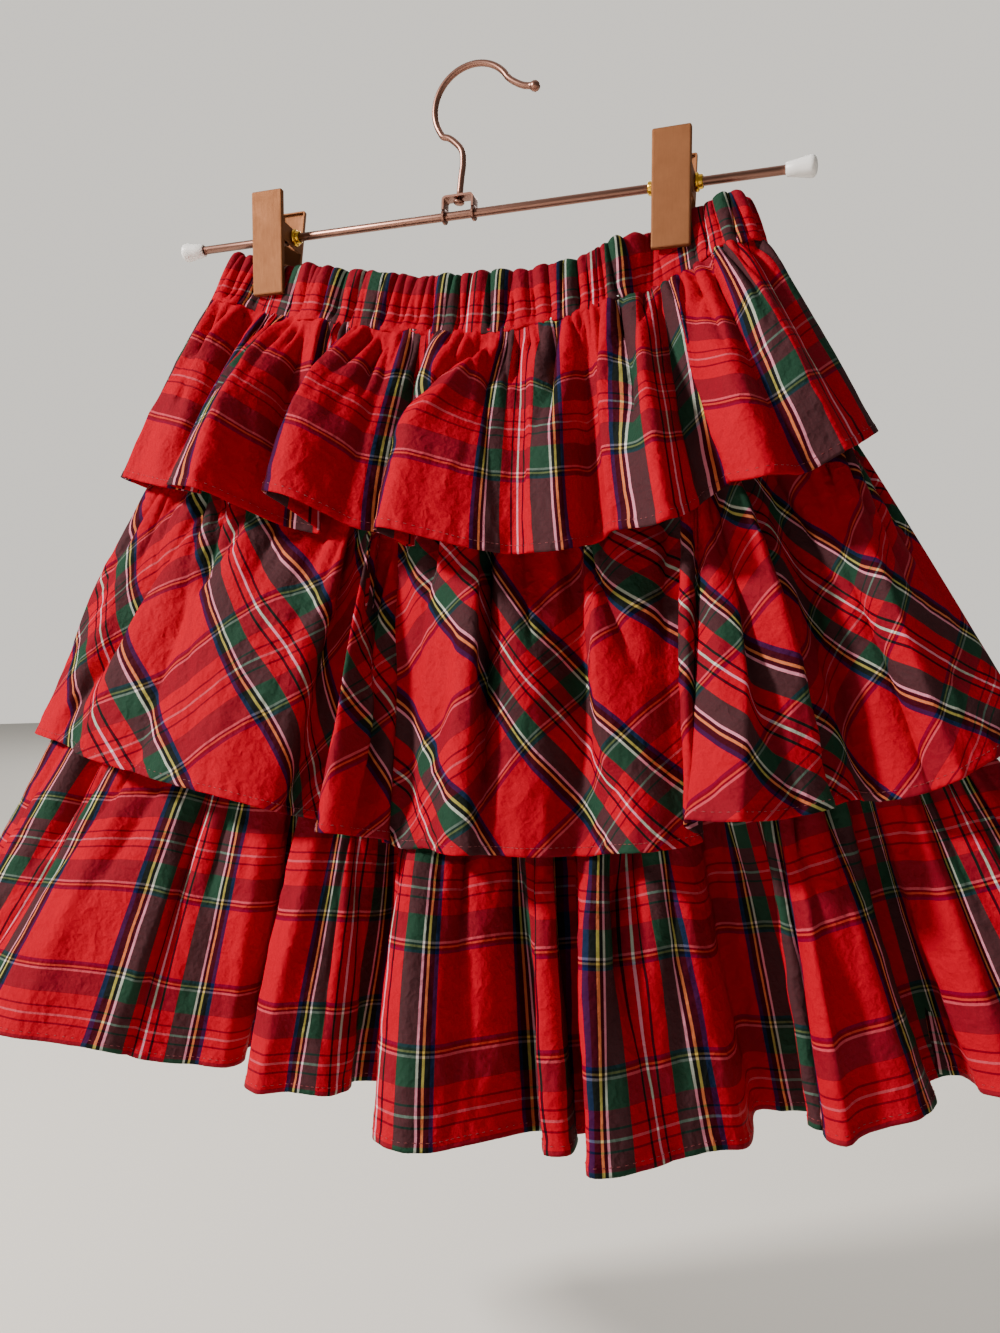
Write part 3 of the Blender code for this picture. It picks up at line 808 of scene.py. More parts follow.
@dataclass
class Ring:
    """A flattened ring round the body.

    At an angle, X is the middle plus half the width times the sine, and Y is minus the depth times the
    cosine raised to a power under 1, which turns the sides bluntly. The clips press it flat.
    """

    middle: float
    half_width: float
    front: float
    back: float
    height: Callable[[Array], Array]
    outward: float = 0.0
    pinch: float = 0.0

    def plain(self, angle: Array) -> Array:
        """Points of the ring before it is moved outward.

        Args:
            angle: Angles round the ring, 0 in the middle of the front.

        Returns:
            Points.
        """
        x = self.middle + self.half_width * np.sin(angle)
        turn = np.cos(angle)
        y = -np.where(turn > 0.0, self.front, self.back) * np.sign(turn) * np.abs(turn) ** SIDE_TURN
        for bell in near_clips(x, PINCH_WIDTH, 4):
            near = self.pinch * bell
            y = y * (1.0 - near) + np.sign(y) * PINCH_GAP * near
        return np.stack([x, y, self.height(x)], axis=-1)

    def outward_at(self, angle: Array) -> Array:
        """Level directions outward from the ring.

        Args:
            angle: Angles round the ring.

        Returns:
            Unit vectors, square to the ring's own way on both sides of each point.
        """
        little = 0.002
        along = self.plain(angle + little) - self.plain(angle - little)
        return unit(np.stack([along[..., 1], -along[..., 0], np.zeros_like(angle)], axis=-1))

    def at(self, angle: Array) -> Array:
        """Points of the ring, moved outward."""
        return self.plain(angle) + self.outward_at(angle) * self.outward


def band_height(column: int, lower: float = 0.0) -> Callable[[Array], Array]:
    """Height of one edge of the band as a function of the place across.

    Args:
        column: 1 for its top edge, 2 for its seam.
        lower: How far below the edge.

    Returns:
        The function, a smooth curve through the table.
    """
    across, height = np.array(BAND_HEIGHTS, float)[:, (0, column)].T

    def at(x: Array) -> Array:
        """Height at each place across."""
        return curve_through(across, height, np.clip(x, across[0], across[-1])) - lower

    return at


def bowed(middle: float, half_width: float, low: float, side: float) -> Callable[[Array], Array]:
    """Height that rises with the square of the distance from the middle.

    Args:
        middle: Place across of the lowest point.
        half_width: Distance from there to the sides.
        low: Height in the middle.
        side: Height at the sides.

    Returns:
        The height as a function of the place across.
    """

    def at(x: Array) -> Array:
        """Height at each place across."""
        return low + (side - low) * np.clip((x - middle) / half_width, -1.0, 1.0) ** 2

    return at


WAIST_TOP = Ring(-1.0, 139.0, 18.0, 13.0, band_height(1), pinch=1.0)
WAIST_SEAM = Ring(-3.5, 149.0, 19.0, 14.0, band_height(2), pinch=0.8)
BASE_WAIST = replace(WAIST_SEAM, half_width=147.0, height=band_height(2, -1.6), outward=-1.3)
BASE_MIDDLE = Ring(-2.0, 171.0, 27.0, 9.0, bowed(-2.0, 171.0, -225.0, -184.0))
BASE_LOW = Ring(-4.0, 222.0, 31.0, 10.0, bowed(-4.0, 222.0, -360.0, -312.0))
SEAM_1 = replace(WAIST_SEAM, height=band_height(2, -0.8), outward=0.5)
SEAM_2 = replace(BASE_MIDDLE, half_width=172.5, outward=1.9)
SEAM_3 = replace(BASE_LOW, half_width=223.5, outward=1.9)


# How far the base's depth drops where the base has ended.
LOW_DROP = 90.0
SIDE_DROP = 60.0
# Charts of depth: what they hold where there is no cloth, their cells, and how many cells they widen by.
NO_CLOTH = -20.0
CHART_CELL = 2.0
CHART_REACH = 2


def eased_out(
    grid: Array, side: Side, depth: Array, room: float, softness: float, part: Array | float = 1.0
) -> Array:
    """A sheet moved outward where it comes too near to a depth.

    It moves by the softness times the log of one plus the exponential of the spare room, less that room.

    Args:
        grid: Points of the sheet.
        side: Front or back.
        depth: Depth to keep outside of, at each point.
        room: Least distance kept.
        softness: Distance over which the move fades out.
        part: Part of the move that each point takes.

    Returns:
        The sheet.
    """
    far = 20.0
    spare = (side.outward * grid[..., 1] - depth - room) / softness
    eased = np.where(spare > far, spare, np.log1p(np.exp(np.minimum(spare, far))))
    result = grid.copy()
    result[..., 1] += side.outward * (eased - spare) * softness * part
    return result


def base_depth(x: Array, z: Array, side: Side) -> Array:
    """Depth of the base at places across and heights.

    An oval's depth, its width and depth blended between the rings above and below by height, and
    pressed flat by the clips. Past its low ring and its sides the base ends.

    Args:
        x: Places across.
        z: Heights.
        side: Front or back.

    Returns:
        The depth, far inside where there is no base.
    """
    rings = (BASE_WAIST, BASE_MIDDLE, BASE_LOW)
    top, middle, low = (ring.height(x) for ring in rings)
    first, second = ramp(top - z, 0.0, top - middle), ramp(middle - z, 0.0, middle - low)

    def along(name: str) -> Array:
        """A size of the rings blended by height."""
        sizes = [getattr(ring, name) for ring in rings]
        return sizes[0] + (sizes[1] - sizes[0]) * first + (sizes[2] - sizes[1]) * second

    reach = np.abs(x - along("middle")) / along("half_width")
    depth = along(side.value) * np.maximum(1.0 - reach**2, 0.0) ** (SIDE_TURN / 2.0)
    for bell in near_clips(x, PINCH_WIDTH, 4):
        near = BASE_WAIST.pinch * bell * (1.0 - first)
        depth = depth * (1.0 - near) + PINCH_GAP * near
    past_low, past_side = ramp(low - z, 5.0, 25.0), ramp(reach, 0.985, 0.02)
    return depth - LOW_DROP * past_low - SIDE_DROP * past_side


def clear_of_base(grid: Array, side: Side) -> Array:
    """A sheet eased outward wherever it would come nearer than 1 mm to the base."""
    return eased_out(grid, side, base_depth(grid[..., 0], grid[..., 2], side), room=1.0, softness=0.5)


def depth_chart(sheet: Array, side: Side) -> tuple[Array, Array]:
    """Greatest depth of a sheet over square cells, widened and then evened out over nearby cells.

    The sheet's points are filled in three to one both ways, so that no cell under it stays empty.

    Args:
        sheet: Points of the sheet.
        side: Front or back.

    Returns:
        The chart, across by height, and the place of its corner.
    """
    for axis in (0, 1):
        last = sheet.shape[axis] - 1
        places = np.linspace(0.0, last, 3 * last + 1)
        first = np.minimum(places.astype(int), last - 1)
        part = (places - first).reshape((-1, 1, 1) if axis == 0 else (1, -1, 1))
        sheet = np.take(sheet, first, axis) * (1.0 - part) + np.take(sheet, first + 1, axis) * part
    points = sheet.reshape(-1, 3)
    border = 3 * CHART_REACH
    corner = points[:, (0, 2)].min(axis=0) - border * CHART_CELL
    spot = ((points[:, (0, 2)] - corner) / CHART_CELL).astype(int)
    chart = np.full(spot.max(axis=0) + border + 1, NO_CLOTH)
    np.maximum.at(chart, (spot[:, 0], spot[:, 1]), side.outward * points[:, 1])
    window = (2 * CHART_REACH + 1,) * 2
    for join in (np.max, np.mean):
        padded = np.pad(chart, CHART_REACH, mode="edge")
        chart = join(np.lib.stride_tricks.sliding_window_view(padded, window), axis=(2, 3))
    return chart, corner


def clear_of_sheet(grid: Array, under: Array, side: Side, part: Array) -> Array:
    """A sheet eased outward wherever it would come nearer than 0.9 mm to the sheet under it.

    Args:
        grid: Points of the sheet.
        under: Points of the sheet under it.
        side: Front or back.
        part: Part of the move that each point takes.

    Returns:
        The sheet.
    """
    chart, corner = depth_chart(under, side)
    place = (grid[..., (0, 2)] - corner) / CHART_CELL - 0.5
    place = np.clip(place, 0.0, np.array(chart.shape) - 1.001)
    first = place.astype(int)
    across, down = np.moveaxis(place - first, -1, 0)
    column, row = np.moveaxis(first, -1, 0)
    near = chart[column, row] * (1.0 - down) + chart[column, row + 1] * down
    far = chart[column + 1, row] * (1.0 - down) + chart[column + 1, row + 1] * down
    return eased_out(grid, side, near + (far - near) * across, room=0.9, softness=0.9, part=part)


# Ruffles

# Fold tables of the front hems, left side to right side: cut length, place of the same yarn along the
# seam above, then across, depth and height of the hem there.
HEM_1 = (
    (10, -152, -208, -8, -203), (42, -137, -174, -32, -212), (64, -118, -151, -40, -218),
    (84, -113, -137, -34, -220), (107, -108, -142, -49, -219), (119, -103, -119, -58, -224),
    (138, -88, -99, -55, -232), (157, -73, -80, -47, -240), (181, -66, -61, -43, -244),
    (204, -59, -75, -61, -229), (212, -56, -65, -68, -231), (232, -40, -44, -65, -240),
    (249, -27, -28, -59, -247), (258, -21, -21, -54, -248), (276, -13, -11, -49, -253),
    (297, -5, -16, -68, -249), (304, -1, -9, -74, -250), (322, 12, 12, -72, -255),
    (341, 24, 29, -68, -259), (368, 36, 49, -60, -261), (390, 51, 71, -66, -261),
    (412, 65, 80, -54, -256), (433, 76, 96, -58, -252), (451, 88, 114, -67, -252),
    (470, 98, 126, -56, -243), (485, 106, 136, -48, -233), (506, 115, 154, -60, -234),
    (527, 124, 171, -50, -229), (550, 134, 185, -34, -218), (573, 144, 195, -8, -205),
)
HEM_2 = (
    (-84, -172, -262, -10, -350), (-56, -160, -230, -34, -351), (-30, -149, -208, -42, -354),
    (0, -132, -165, -58, -362), (28, -114, -123, -66, -368), (56, -92, -91, -68, -373),
    (83, -49, -68, -62, -379), (102, -45, -70, -51, -382), (130, -42, -57, -47, -383),
    (158, -41, -46, -66, -386), (170, -35, -36, -72, -385), (196, -29, -31, -56, -389),
    (222, -25, -12, -58, -390), (233, -22, -7, -54, -392), (260, -2, 12, -62, -391),
    (276, 15, 27, -70, -391), (288, 19, 36, -66, -391), (325, 38, 62, -62, -391),
    (353, 60, 84, -52, -390), (362, 64, 91, -58, -388), (390, 85, 111, -62, -385),
    (407, 109, 125, -52, -383), (420, 113, 127, -49, -380), (433, 117, 119, -66, -372),
    (458, 120, 139, -70, -370), (482, 123, 160, -62, -369), (503, 127, 181, -54, -364),
    (522, 133, 186, -37, -363), (546, 141, 193, -32, -363), (559, 148, 200, -36, -362),
    (582, 161, 216, -40, -357), (612, 170, 236, -30, -345), (645, 176, 258, -6, -336),
)
HEM_3 = (
    (-85, -224, -345, -6, -499), (-62, -216, -330, -30, -498), (-30, -205, -296, -52, -497),
    (5, -184, -254, -66, -497), (33, -164, -222, -70, -498), (52, -150, -193, -68, -499),
    (72, -132, -162, -64, -501), (92, -118, -145, -56, -506), (113, -101, -126, -46, -509),
    (137, -80, -104, -36, -509), (158, -77, -109, -21, -508), (172, -74, -103, -11, -508),
    (186, -70, -90, -13, -508), (232, -60, -77, -58, -508), (250, -44, -58, -58, -507),
    (276, -34, -38, -54, -508), (283, -29, -36, -48, -509), (296, -24, -38, -37, -511),
    (314, -18, -22, -33, -512), (334, -13, -4, -44, -511), (366, -8, 0, -80, -510),
    (391, 8, 23, -84, -510), (414, 24, 41, -76, -508), (438, 38, 59, -60, -509),
    (459, 49, 70, -64, -512), (470, 55, 77, -66, -511), (482, 60, 81, -52, -511),
    (500, 66, 85, -45, -512), (524, 78, 92, -72, -512), (552, 91, 116, -60, -510),
    (574, 101, 133, -46, -508), (590, 112, 144, -32, -510), (606, 120, 146, -14, -505),
    (622, 129, 160, -13, -503), (640, 137, 171, -17, -501), (655, 144, 169, -34, -497),
    (671, 152, 179, -40, -498), (690, 160, 195, -36, -493), (710, 167, 212, -28, -488),
    (722, 173, 218, -21, -487), (742, 180, 222, -6, -483), (766, 188, 233, -8, -478),
    (790, 197, 247, -28, -475), (815, 204, 265, -26, -470), (840, 210, 283, -17, -464),
    (862, 214, 298, -20, -458), (890, 218, 319, -4, -452),
)


# Single folds of the fronts: cut length and share down of the upper end, the same of the lower end,
# half width, and height, below 0 in a trough.
FOLDS_1 = (
    (24, -0.1, 20, 1.3, 4.5, -4.0), (34, 0.0, 31, 1.5, 4, 3.0), (48, 0.0, 44, 0.6, 5, 3.5),
    (59, -0.1, 62, 1.0, 5, -5.5), (67, -0.05, 84, 0.9, 4.5, 3.5), (75, -0.1, 98, 0.9, 5, -6.0),
    (92, -0.1, 104, 0.5, 4, 3.0), (106, -0.1, 111, 0.5, 4, -4.5), (122, 0.0, 123, 1.4, 8, 6.0),
    (141, -0.1, 148, 0.7, 5, -6.0), (150, 0.0, 164, 1.4, 12, -5.0), (154, -0.05, 160, 0.5, 4, 3.5),
    (171, -0.1, 178, 0.5, 6, -6.0), (188, -0.05, 184, 0.6, 6, 3.5), (205, -0.05, 198, 0.4, 5, -5.0),
    (214, 0.0, 206, 1.3, 7, 4.0), (233, -0.1, 236, 0.4, 4, -5.0), (244, 0.0, 240, 1.2, 10, -4.0),
    (266, -0.1, 274, 1.3, 9, -5.0), (334, -0.05, 290, 0.5, 6, -7.0), (336, 0.1, 303, 0.62, 9, 5.0),
    (330, -0.1, 325, 0.2, 3.5, -4.0), (352, -0.1, 349, 0.3, 5, -5.0),
    (368, -0.1, 360, 0.3, 3.5, -5.0), (378, 0.0, 376, 1.5, 5, 3.0),
    (388, -0.1, 388, 0.5, 4.5, -4.5), (411, 0.0, 413, 1.25, 8, -5.0),
    (429, -0.05, 430, 1.5, 8, 4.0), (440, -0.1, 443, 0.7, 5, -4.5),
    (450, -0.1, 454, 1.35, 4.5, 3.5), (468, -0.1, 478, 1.3, 8, -5.5),
    (482, -0.1, 500, 1.35, 9, 6.0), (496, -0.1, 506, 0.5, 4, -3.5),
    (519, -0.05, 526, 1.2, 11, -6.0), (532, -0.1, 534, 0.5, 4, 3.0), (542, -0.05, 543, 1.4, 7, 4.0),
    (556, -0.1, 557, 0.9, 4, -3.5),
)
FOLDS_2 = (
    (-50, 0.05, -75, 0.7, 10, 3.0), (2, 0.1, -54, 1.1, 9, -5.5), (-8, 0.2, -18, 1.5, 10, 4.5),
    (12, 0.2, 8, 1.2, 9, -4.5), (10, -0.1, 20, 0.42, 6, -5.5), (37, 0.05, 22, 0.4, 5, -4.5),
    (60, 0.0, 52, 0.36, 5, -3.5), (75, 0.05, 68, 0.42, 4, -3.0), (87, 0.05, 76, 0.46, 4, -3.0),
    (150, -0.3, 140, 1.25, 17, -10.5), (205, 0.2, 165, 1.5, 7, 7.0),
    (214, -0.2, 226, 1.3, 14, -11.0), (272, 0.4, 258, 0.8, 7, -3.0), (283, -0.2, 280, 1.3, 8, 4.0),
    (299, -0.1, 291, 0.95, 5.5, -10.0), (322, 0.0, 327, 0.5, 6, -4.0),
    (342, 0.0, 340, 0.42, 6, 4.0), (353, 0.05, 346, 0.85, 8, -7.5), (374, 0.15, 370, 0.85, 9, 5.5),
    (362, 0.12, 392, 0.6, 6, -5.0), (460, 0.2, 424, 1.4, 10, -8.0), (487, 0.2, 450, 1.5, 9, 6.0),
    (481, 0.15, 484, 0.75, 6, -5.0), (494, -0.2, 502, 0.9, 6, 7.0), (514, -0.1, 512, 0.9, 7, -7.5),
    (477, 0.5, 498, 1.4, 7, -5.0), (488, 0.7, 497, 1.5, 7, 4.5), (514, 0.55, 509, 1.5, 9, -6.0),
    (540, 0.0, 568, 0.55, 6, -4.5), (571, 0.2, 585, 1.3, 8, -5.0), (590, 0.2, 597, 1.3, 10, 4.5),
    (619, 0.05, 610, 0.6, 5, -3.5), (633, 0.1, 626, 0.6, 5, -3.0), (616, 0.8, 603, 1.5, 14, 3.0),
)
FOLDS_3 = (
    (-48, 0.0, -60, 1.2, 9, -4.0), (18, -0.1, -8, 1.1, 10, -6.0), (40, 0.0, 44, 1.5, 12, 3.5),
    (60, 0.1, 47, 0.6, 5, -3.0), (90, -0.1, 84, 1.1, 7, -5.5), (82, 0.3, 76, 1.0, 5, 3.0),
    (104, 0.05, 106, 0.55, 5, -3.5), (127, -0.1, 132, 1.5, 9, 3.5), (243, -0.1, 238, 1.5, 7, 5.0),
    (262, 0.1, 266, 0.9, 6, -3.0), (300, -0.1, 316, 1.4, 12, -6.0), (380, 0.0, 384, 1.5, 12, 3.0),
    (412, 0.25, 415, 1.0, 8, -3.0), (437, -0.1, 443, 1.5, 6, -7.5), (466, -0.1, 461, 1.4, 7, 4.5),
    (478, -0.1, 488, 1.5, 7, -7.5), (500, 0.1, 503, 0.8, 6, 3.0), (524, 0.0, 526, 1.5, 8, 3.0),
    (543, -0.1, 546, 0.75, 5, -3.5), (561, 0.0, 556, 0.55, 5, -3.5), (580, 0.0, 585, 1.5, 8, 4.0),
    (604, 0.0, 606, 0.9, 7, -4.0), (640, -0.1, 640, 1.2, 12, -6.0), (668, 0.0, 664, 1.2, 6, -6.0),
    (682, -0.1, 677, 1.4, 5, 6.0), (706, 0.2, 708, 1.5, 12, 3.0), (738, -0.1, 738, 1.4, 9, -6.5),
    (768, 0.0, 786, 1.4, 8, 4.0), (802, -0.1, 806, 1.2, 9, -5.0), (832, 0.0, 836, 1.4, 8, 3.5),
    (858, -0.1, 862, 1.2, 8, -4.0),
)


# Crumples of the ruffles: strength, lean, size across, size down, shift of the seed, and 1 for those
# with a sharp crest.
CRUMPLES = (
    (1.5, 0.0, 17.0, 46.0, 0.0, 0),
    (0.9, 0.3, 9.5, 30.0, 5.0, 1),
    (0.5, -0.5, 7.5, 12.0, 9.0, 1),
)


@dataclass(frozen=True)
class BackFolds:
    """The hidden back hem: plain soft folds, near the body and away from it by turns."""

    count: int
    pitch: float
    near: float
    far: float
    low: float
    shift: float = 0.22
    shift_turn: float = 2.4
    vary: float = 3.0
    vary_turn: float = 1.7
    side_share: float = 0.2

    def rows(self, front: Array) -> Array:
        """Rows of the back hem, right side to left side.

        Args:
            front: Rows of the front hem.

        Returns:
            Rows with the same columns; the seam column isn't used.
        """
        first, last = front[0], front[-1]
        step = np.arange(1, self.count)
        share = step / self.count
        shift = np.sin(step * self.shift_turn) * self.shift / self.count
        across = last[2] + (first[2] - last[2]) * (share + shift)
        deep = np.where(step % 2 == 0, self.near, self.far) + self.vary * np.sin(step * self.vary_turn)
        edge = ramp(np.minimum(share, 1.0 - share), 0.0, self.side_share)
        deep = deep * edge + self.near * (1.0 - edge)
        side = last[4] + (first[4] - last[4]) * share
        height = side + (self.low - side) * np.sin(np.pi * share)
        cut = last[0] + self.pitch * step
        return np.column_stack([cut, np.zeros(self.count - 1), across, deep, height])


@dataclass(frozen=True)
class Grain:
    """Where the tartan lies on a cut: its turn, and the distance of its white lines from the hem.

    A slanting cut also gives as it hangs. Each distance then shrinks by a fixed part, a part for the cut
    length, a part for the height above the hem and a part for the product of both.
    """

    turn: float
    along: float
    across_give: tuple[float, float, float, float] = (0.0, 0.0, 0.0, 0.0)
    along_give: tuple[float, float, float, float] = (0.0, 0.0, 0.0, 0.0)
    last_cut: float = 650.0

    def at(self, cut: Array, above_hem: Array) -> Array:
        """Distances across the warp and the weft for each point of the flat cut.

        Args:
            cut: Distance round the cut.
            above_hem: Distance above the hem.

        Returns:
            The two distances, stacked last.
        """
        turn = np.radians(self.turn)
        across = cut * np.cos(turn) + above_hem * np.sin(turn)
        along = cut * np.sin(turn) - above_hem * np.cos(turn) + self.along
        place = np.minimum(cut, self.last_cut)
        parts = np.stack([np.ones_like(place), place, above_hem, place * above_hem], axis=-1)
        return np.stack([across - parts @ self.across_give, along - parts @ self.along_give], axis=-1)


@dataclass(frozen=True)
class Gathers:
    """Small folds that start in a seam: troughs of uneven spacing, depth, length and lean.

    Under the seam the cloth puffs out. Each trough sinks by its depth times a pointed bell across it,
    fades down the cloth as an exponential of its length and widens as it goes. The cloth beside it is
    drawn in towards it.
    """

    pitch: float
    depth: float
    reach: float
    width: float
    seed: float
    puff: float = 0.0
    draw: float = 0.5
    point: float = 1.25
    fade: float = 1.4
    widens_over: float = 90.0
    flat_above: float = 3.0

    def troughs(self, first: float, last: float) -> tuple[Array, ...]:
        """Scatters the troughs.

        Args:
            first: Cut length where the panel starts.
            last: Cut length where it ends.

        Returns:
            Their places, depths, lengths and leans.
        """
        before, after = 3, 5
        index = np.arange(int((last - first) / self.pitch) + before + after)
        steps = self.pitch * uneven(index, self.seed, 0.55, 1.45)
        place = first - before * self.pitch + np.cumsum(steps)
        depth = self.depth * uneven(index, self.seed + 1.3, 0.35, 1.35)
        reach = self.reach * (0.35 + 1.5 * uneven(index, self.seed + 2.1) ** 2)
        lean = uneven(index, self.seed + 3.7, -0.25, 0.25)
        return place, depth, reach, lean

    def folded(self, cut: Array, below: Array) -> tuple[Array, Array]:
        """Heights of the gathers and how far they draw the cloth along.

        Args:
            cut: Cut length of each point.
            below: Distance of each point below the seam.

        Returns:
            Height, below 0 in a trough, and the pull along the cut.
        """
        place, depth, reach, lean = self.troughs(cut.min(), cut.max())
        rise, drawn = self.puff * np.exp(-below / (1.6 * self.reach)), np.zeros_like(cut)
        start = 1.0 - np.exp(-(below + 0.3) / self.flat_above)
        for centre, deep, long, leaning in zip(place, depth, reach, lean):
            wide = self.width * (1.0 + below / self.widens_over)
            off = cut - centre - leaning * below
            near = np.exp(-(np.abs(off / wide) ** self.point) - (below / long) ** self.fade)
            rise -= deep * near
            drawn -= self.draw * off * near
        return rise * start, drawn


@dataclass(frozen=True)
class Creases:
    """Single folds, from a table with the columns of the folds of the fronts.

    Each is a bell across, which rises and fades along its length as a half sine. A trough draws the
    cloth beside it in, and a ridge draws it in less.
    """

    rows: Table
    scale: float = 1.4
    draw: float = 0.075
    ridge_draw: float = 0.4
    point: float = 1.35
    fade: float = 0.7

    @classmethod
    def scattered(cls, first: float, last: float, pitch: float, seed: float) -> "Creases":
        """Uneven troughs and ridges by turns, for a hidden panel.

        Args:
            first: Cut length where the panel starts.
            last: Cut length where it ends.
            pitch: Mean distance between folds.
            seed: Picks another scatter.

        Returns:
            The folds.
        """
        index = np.arange(1, int((last - first) / pitch))
        top = first + (index + uneven(index, seed, -0.35, 0.35)) * pitch
        low = top + uneven(index, seed + 1.1, -8.0, 8.0)
        start = uneven(index, seed + 2.3, -0.15, 0.15)
        end = uneven(index, seed + 3.9, 0.75, 1.65)
        width = uneven(index, seed + 4.7, 5.0, 10.0)
        ridge, trough = 2.5, -3.5
        height = np.where(index % 2 == 0, ridge, trough) * uneven(index, seed + 5.3, 0.7, 1.7)
        return cls(tuple(map(tuple, np.column_stack([top, start, low, end, width, height]))))

    def folded(self, cut: Array, share: Array) -> tuple[Array, Array]:
        """Heights of the creases and how far they draw the cloth along.

        Args:
            cut: Cut length of each point.
            share: Share of the way down of each point.

        Returns:
            Height, below 0 in a trough, and the pull along the cut.
        """
        rise, drawn = np.zeros_like(cut), np.zeros_like(cut)
        for cut_top, top, cut_low, low, width, height in self.rows:
            way = (share - top) / (low - top)
            off = cut - cut_top - (cut_low - cut_top) * way
            across = np.exp(-(np.abs(off / width) ** self.point))
            near = np.sin(np.pi * np.clip(way, 0.0, 1.0)) ** self.fade * across
            rise += self.scale * height * near
            drawn -= self.draw * (-height if height < 0.0 else self.ridge_draw * height) * off * near
        return rise, drawn


@dataclass
class Ruffle:
    """A gathered tier between its seam ring and its hem ring.

    A point is the seam's point blended into the hem's point of the same yarn: across by a power of the
    share down, outward by one minus a power of the share left, and downward evenly.
    """

    name: str
    front: Table
    folds: BackFolds
    across: float
    deep: float
    seam: Ring
    grain: Grain
    gathers: tuple[Gathers, ...]
    creases: Creases
    length: float
    rests_on: str = "base"
    under: "Ruffle | None" = None
    # Folds: how early they open, how much deeper they get, the reach of the mean that is their zero, and
    # how far from the side seams they come in.
    early: float = 2.4
    fold_gain: float = 1.3
    even_over: float = 70.0
    calm_sides: float = 40.0
    # Distances between points, and how much wider they are on the back.
    column_step: float = 1.4
    row_step: float = 2.1
    back_column: float = 1.7
    back_row: float = 1.3
    crowding: float = 0.45
    # Gap at the side seams, and the distances over which gathers, room for the ruffle below, heights and
    # creases come in.
    side_gap: float = 0.12
    side_fade: float = 8.0
    clear_fade: float = 14.0
    level_fade: float = 9.0
    crease_fade: float = 5.0
    # Crumples, and puckers at the hem.
    crumple: float = 0.45
    crumple_fade: float = 12.0
    pucker: float = 0.65
    pucker_wide: float = 3.4
    pucker_long: float = 9.0
    pucker_above: float = 4.0
    # The turned hem and the thickness of the cloth.
    hem_fold: float = 4.2
    hem_edge: float = 0.35
    wall: float = 0.55
    hem_wall: float = 1.25

    def __post_init__(self) -> None:
        """Joins the front and the back rows into one closed hem."""
        front = np.array(self.front, float)
        self.rows = np.vstack([front, self.folds.rows(front)])
        self.left, self.right = front[0, 0], front[-1, 0]
        self.round = self.rows[-1, 0] + self.folds.pitch - self.left
        reach = (front[:, 1] - self.seam.middle) / self.seam.half_width
        self.front_angle = np.arcsin(np.clip(reach, -1.0, 1.0))
        self.front_angle[[0, -1]] = -np.pi / 2, np.pi / 2

    def span(self, side: Side) -> tuple[float, float]:
        """First and last cut length of a panel."""
        front, back = (self.left, self.right), (self.right, self.left + self.round)
        return front if side is Side.FRONT else back

    def creases_of(self, side: Side) -> Creases:
        """Single folds of a panel: those listed for the front, scattered ones on the back.

        Args:
            side: Front or back.

        Returns:
            The folds.
        """
        if side is Side.FRONT:
            return self.creases
        return Creases.scattered(*self.span(side), self.folds.pitch * 0.55, self.gathers[0].seed)

    def angle(self, cut: Array) -> Array:
        """Angle round the seam ring of each cut length.

        Args:
            cut: Cut lengths.

        Returns:
            Angles: through the front's rows, and evenly spaced on the back.
        """
        cut = self.left + (cut - self.left) % self.round
        knots = self.rows[: len(self.front_angle), 0]
        front = curve_through(knots, self.front_angle, np.clip(cut, self.left, self.right))
        back_share = (cut - self.right) / (self.round - (self.right - self.left))
        return np.where(cut <= self.right, front, np.pi / 2 + np.pi * back_share)

    def fall(self, cut: Array, share: Array) -> Array:
        """Points of the smooth ruffle.

        Args:
            cut: Cut length of each point.
            share: Share of the way down of each point.

        Returns:
            Points down and round.
        """
        top = self.seam.at(self.angle(cut))
        knots = self.rows[:, 0]
        hem = np.stack([curve_through(knots, self.rows[:, k], cut, self.round) for k in (2, 3, 4)], -1)
        blend = np.stack([share**self.across, 1.0 - (1.0 - share) ** self.deep, share], -1)
        grid = top + (hem - top) * blend
        soft = curve_through(knots, self.smooth_depth(), cut, self.round)
        rise = self.fold_gain * (1.0 - (1.0 - share) ** self.early) - blend[..., 1]
        grid[..., 1] += (hem[..., 1] - soft) * rise * self.inside(cut)
        return grid

    def inside(self, cut: Array) -> Array:
        """1 away from the side seams, 0 at them."""
        seams = (self.left, self.right, self.left + self.round)
        return ramp(np.min([np.abs(cut - seam) for seam in seams], axis=0), 0.0, self.calm_sides)

    def smooth_depth(self) -> Array:
        """Depth of the hem with its folds evened out.

        Returns:
            For each row, a bell-weighted mean of the rows near it.
        """
        cut, depth = self.rows[:, 0], self.rows[:, 3]
        apart = np.abs(cut[:, None] - cut[None])
        apart = np.minimum(apart, self.round - apart)
        weight = np.exp(-((apart / self.even_over) ** 2)) * np.gradient(cut)[None]
        return weight @ depth / weight.sum(axis=1)

    def flat(self, side: Side) -> list[Array]:
        """Points of a flat panel, row by row, closer together near the seam and the hem.

        Args:
            side: Front or back.

        Returns:
            Share of the way down and cut length of each point.
        """
        first, last = self.span(side)
        column, row = (1.0, 1.0) if side is Side.FRONT else (self.back_column, self.back_row)
        columns = np.linspace(first, last, int((last - first) / self.column_step / column))
        columns[[0, -1]] += self.side_gap, -self.side_gap
        rows = np.linspace(0.0, 1.0, int(self.length / self.row_step / row))
        rows -= self.crowding * np.sin(2.0 * np.pi * rows) / (2.0 * np.pi)
        return np.meshgrid(rows, columns, indexing="ij")

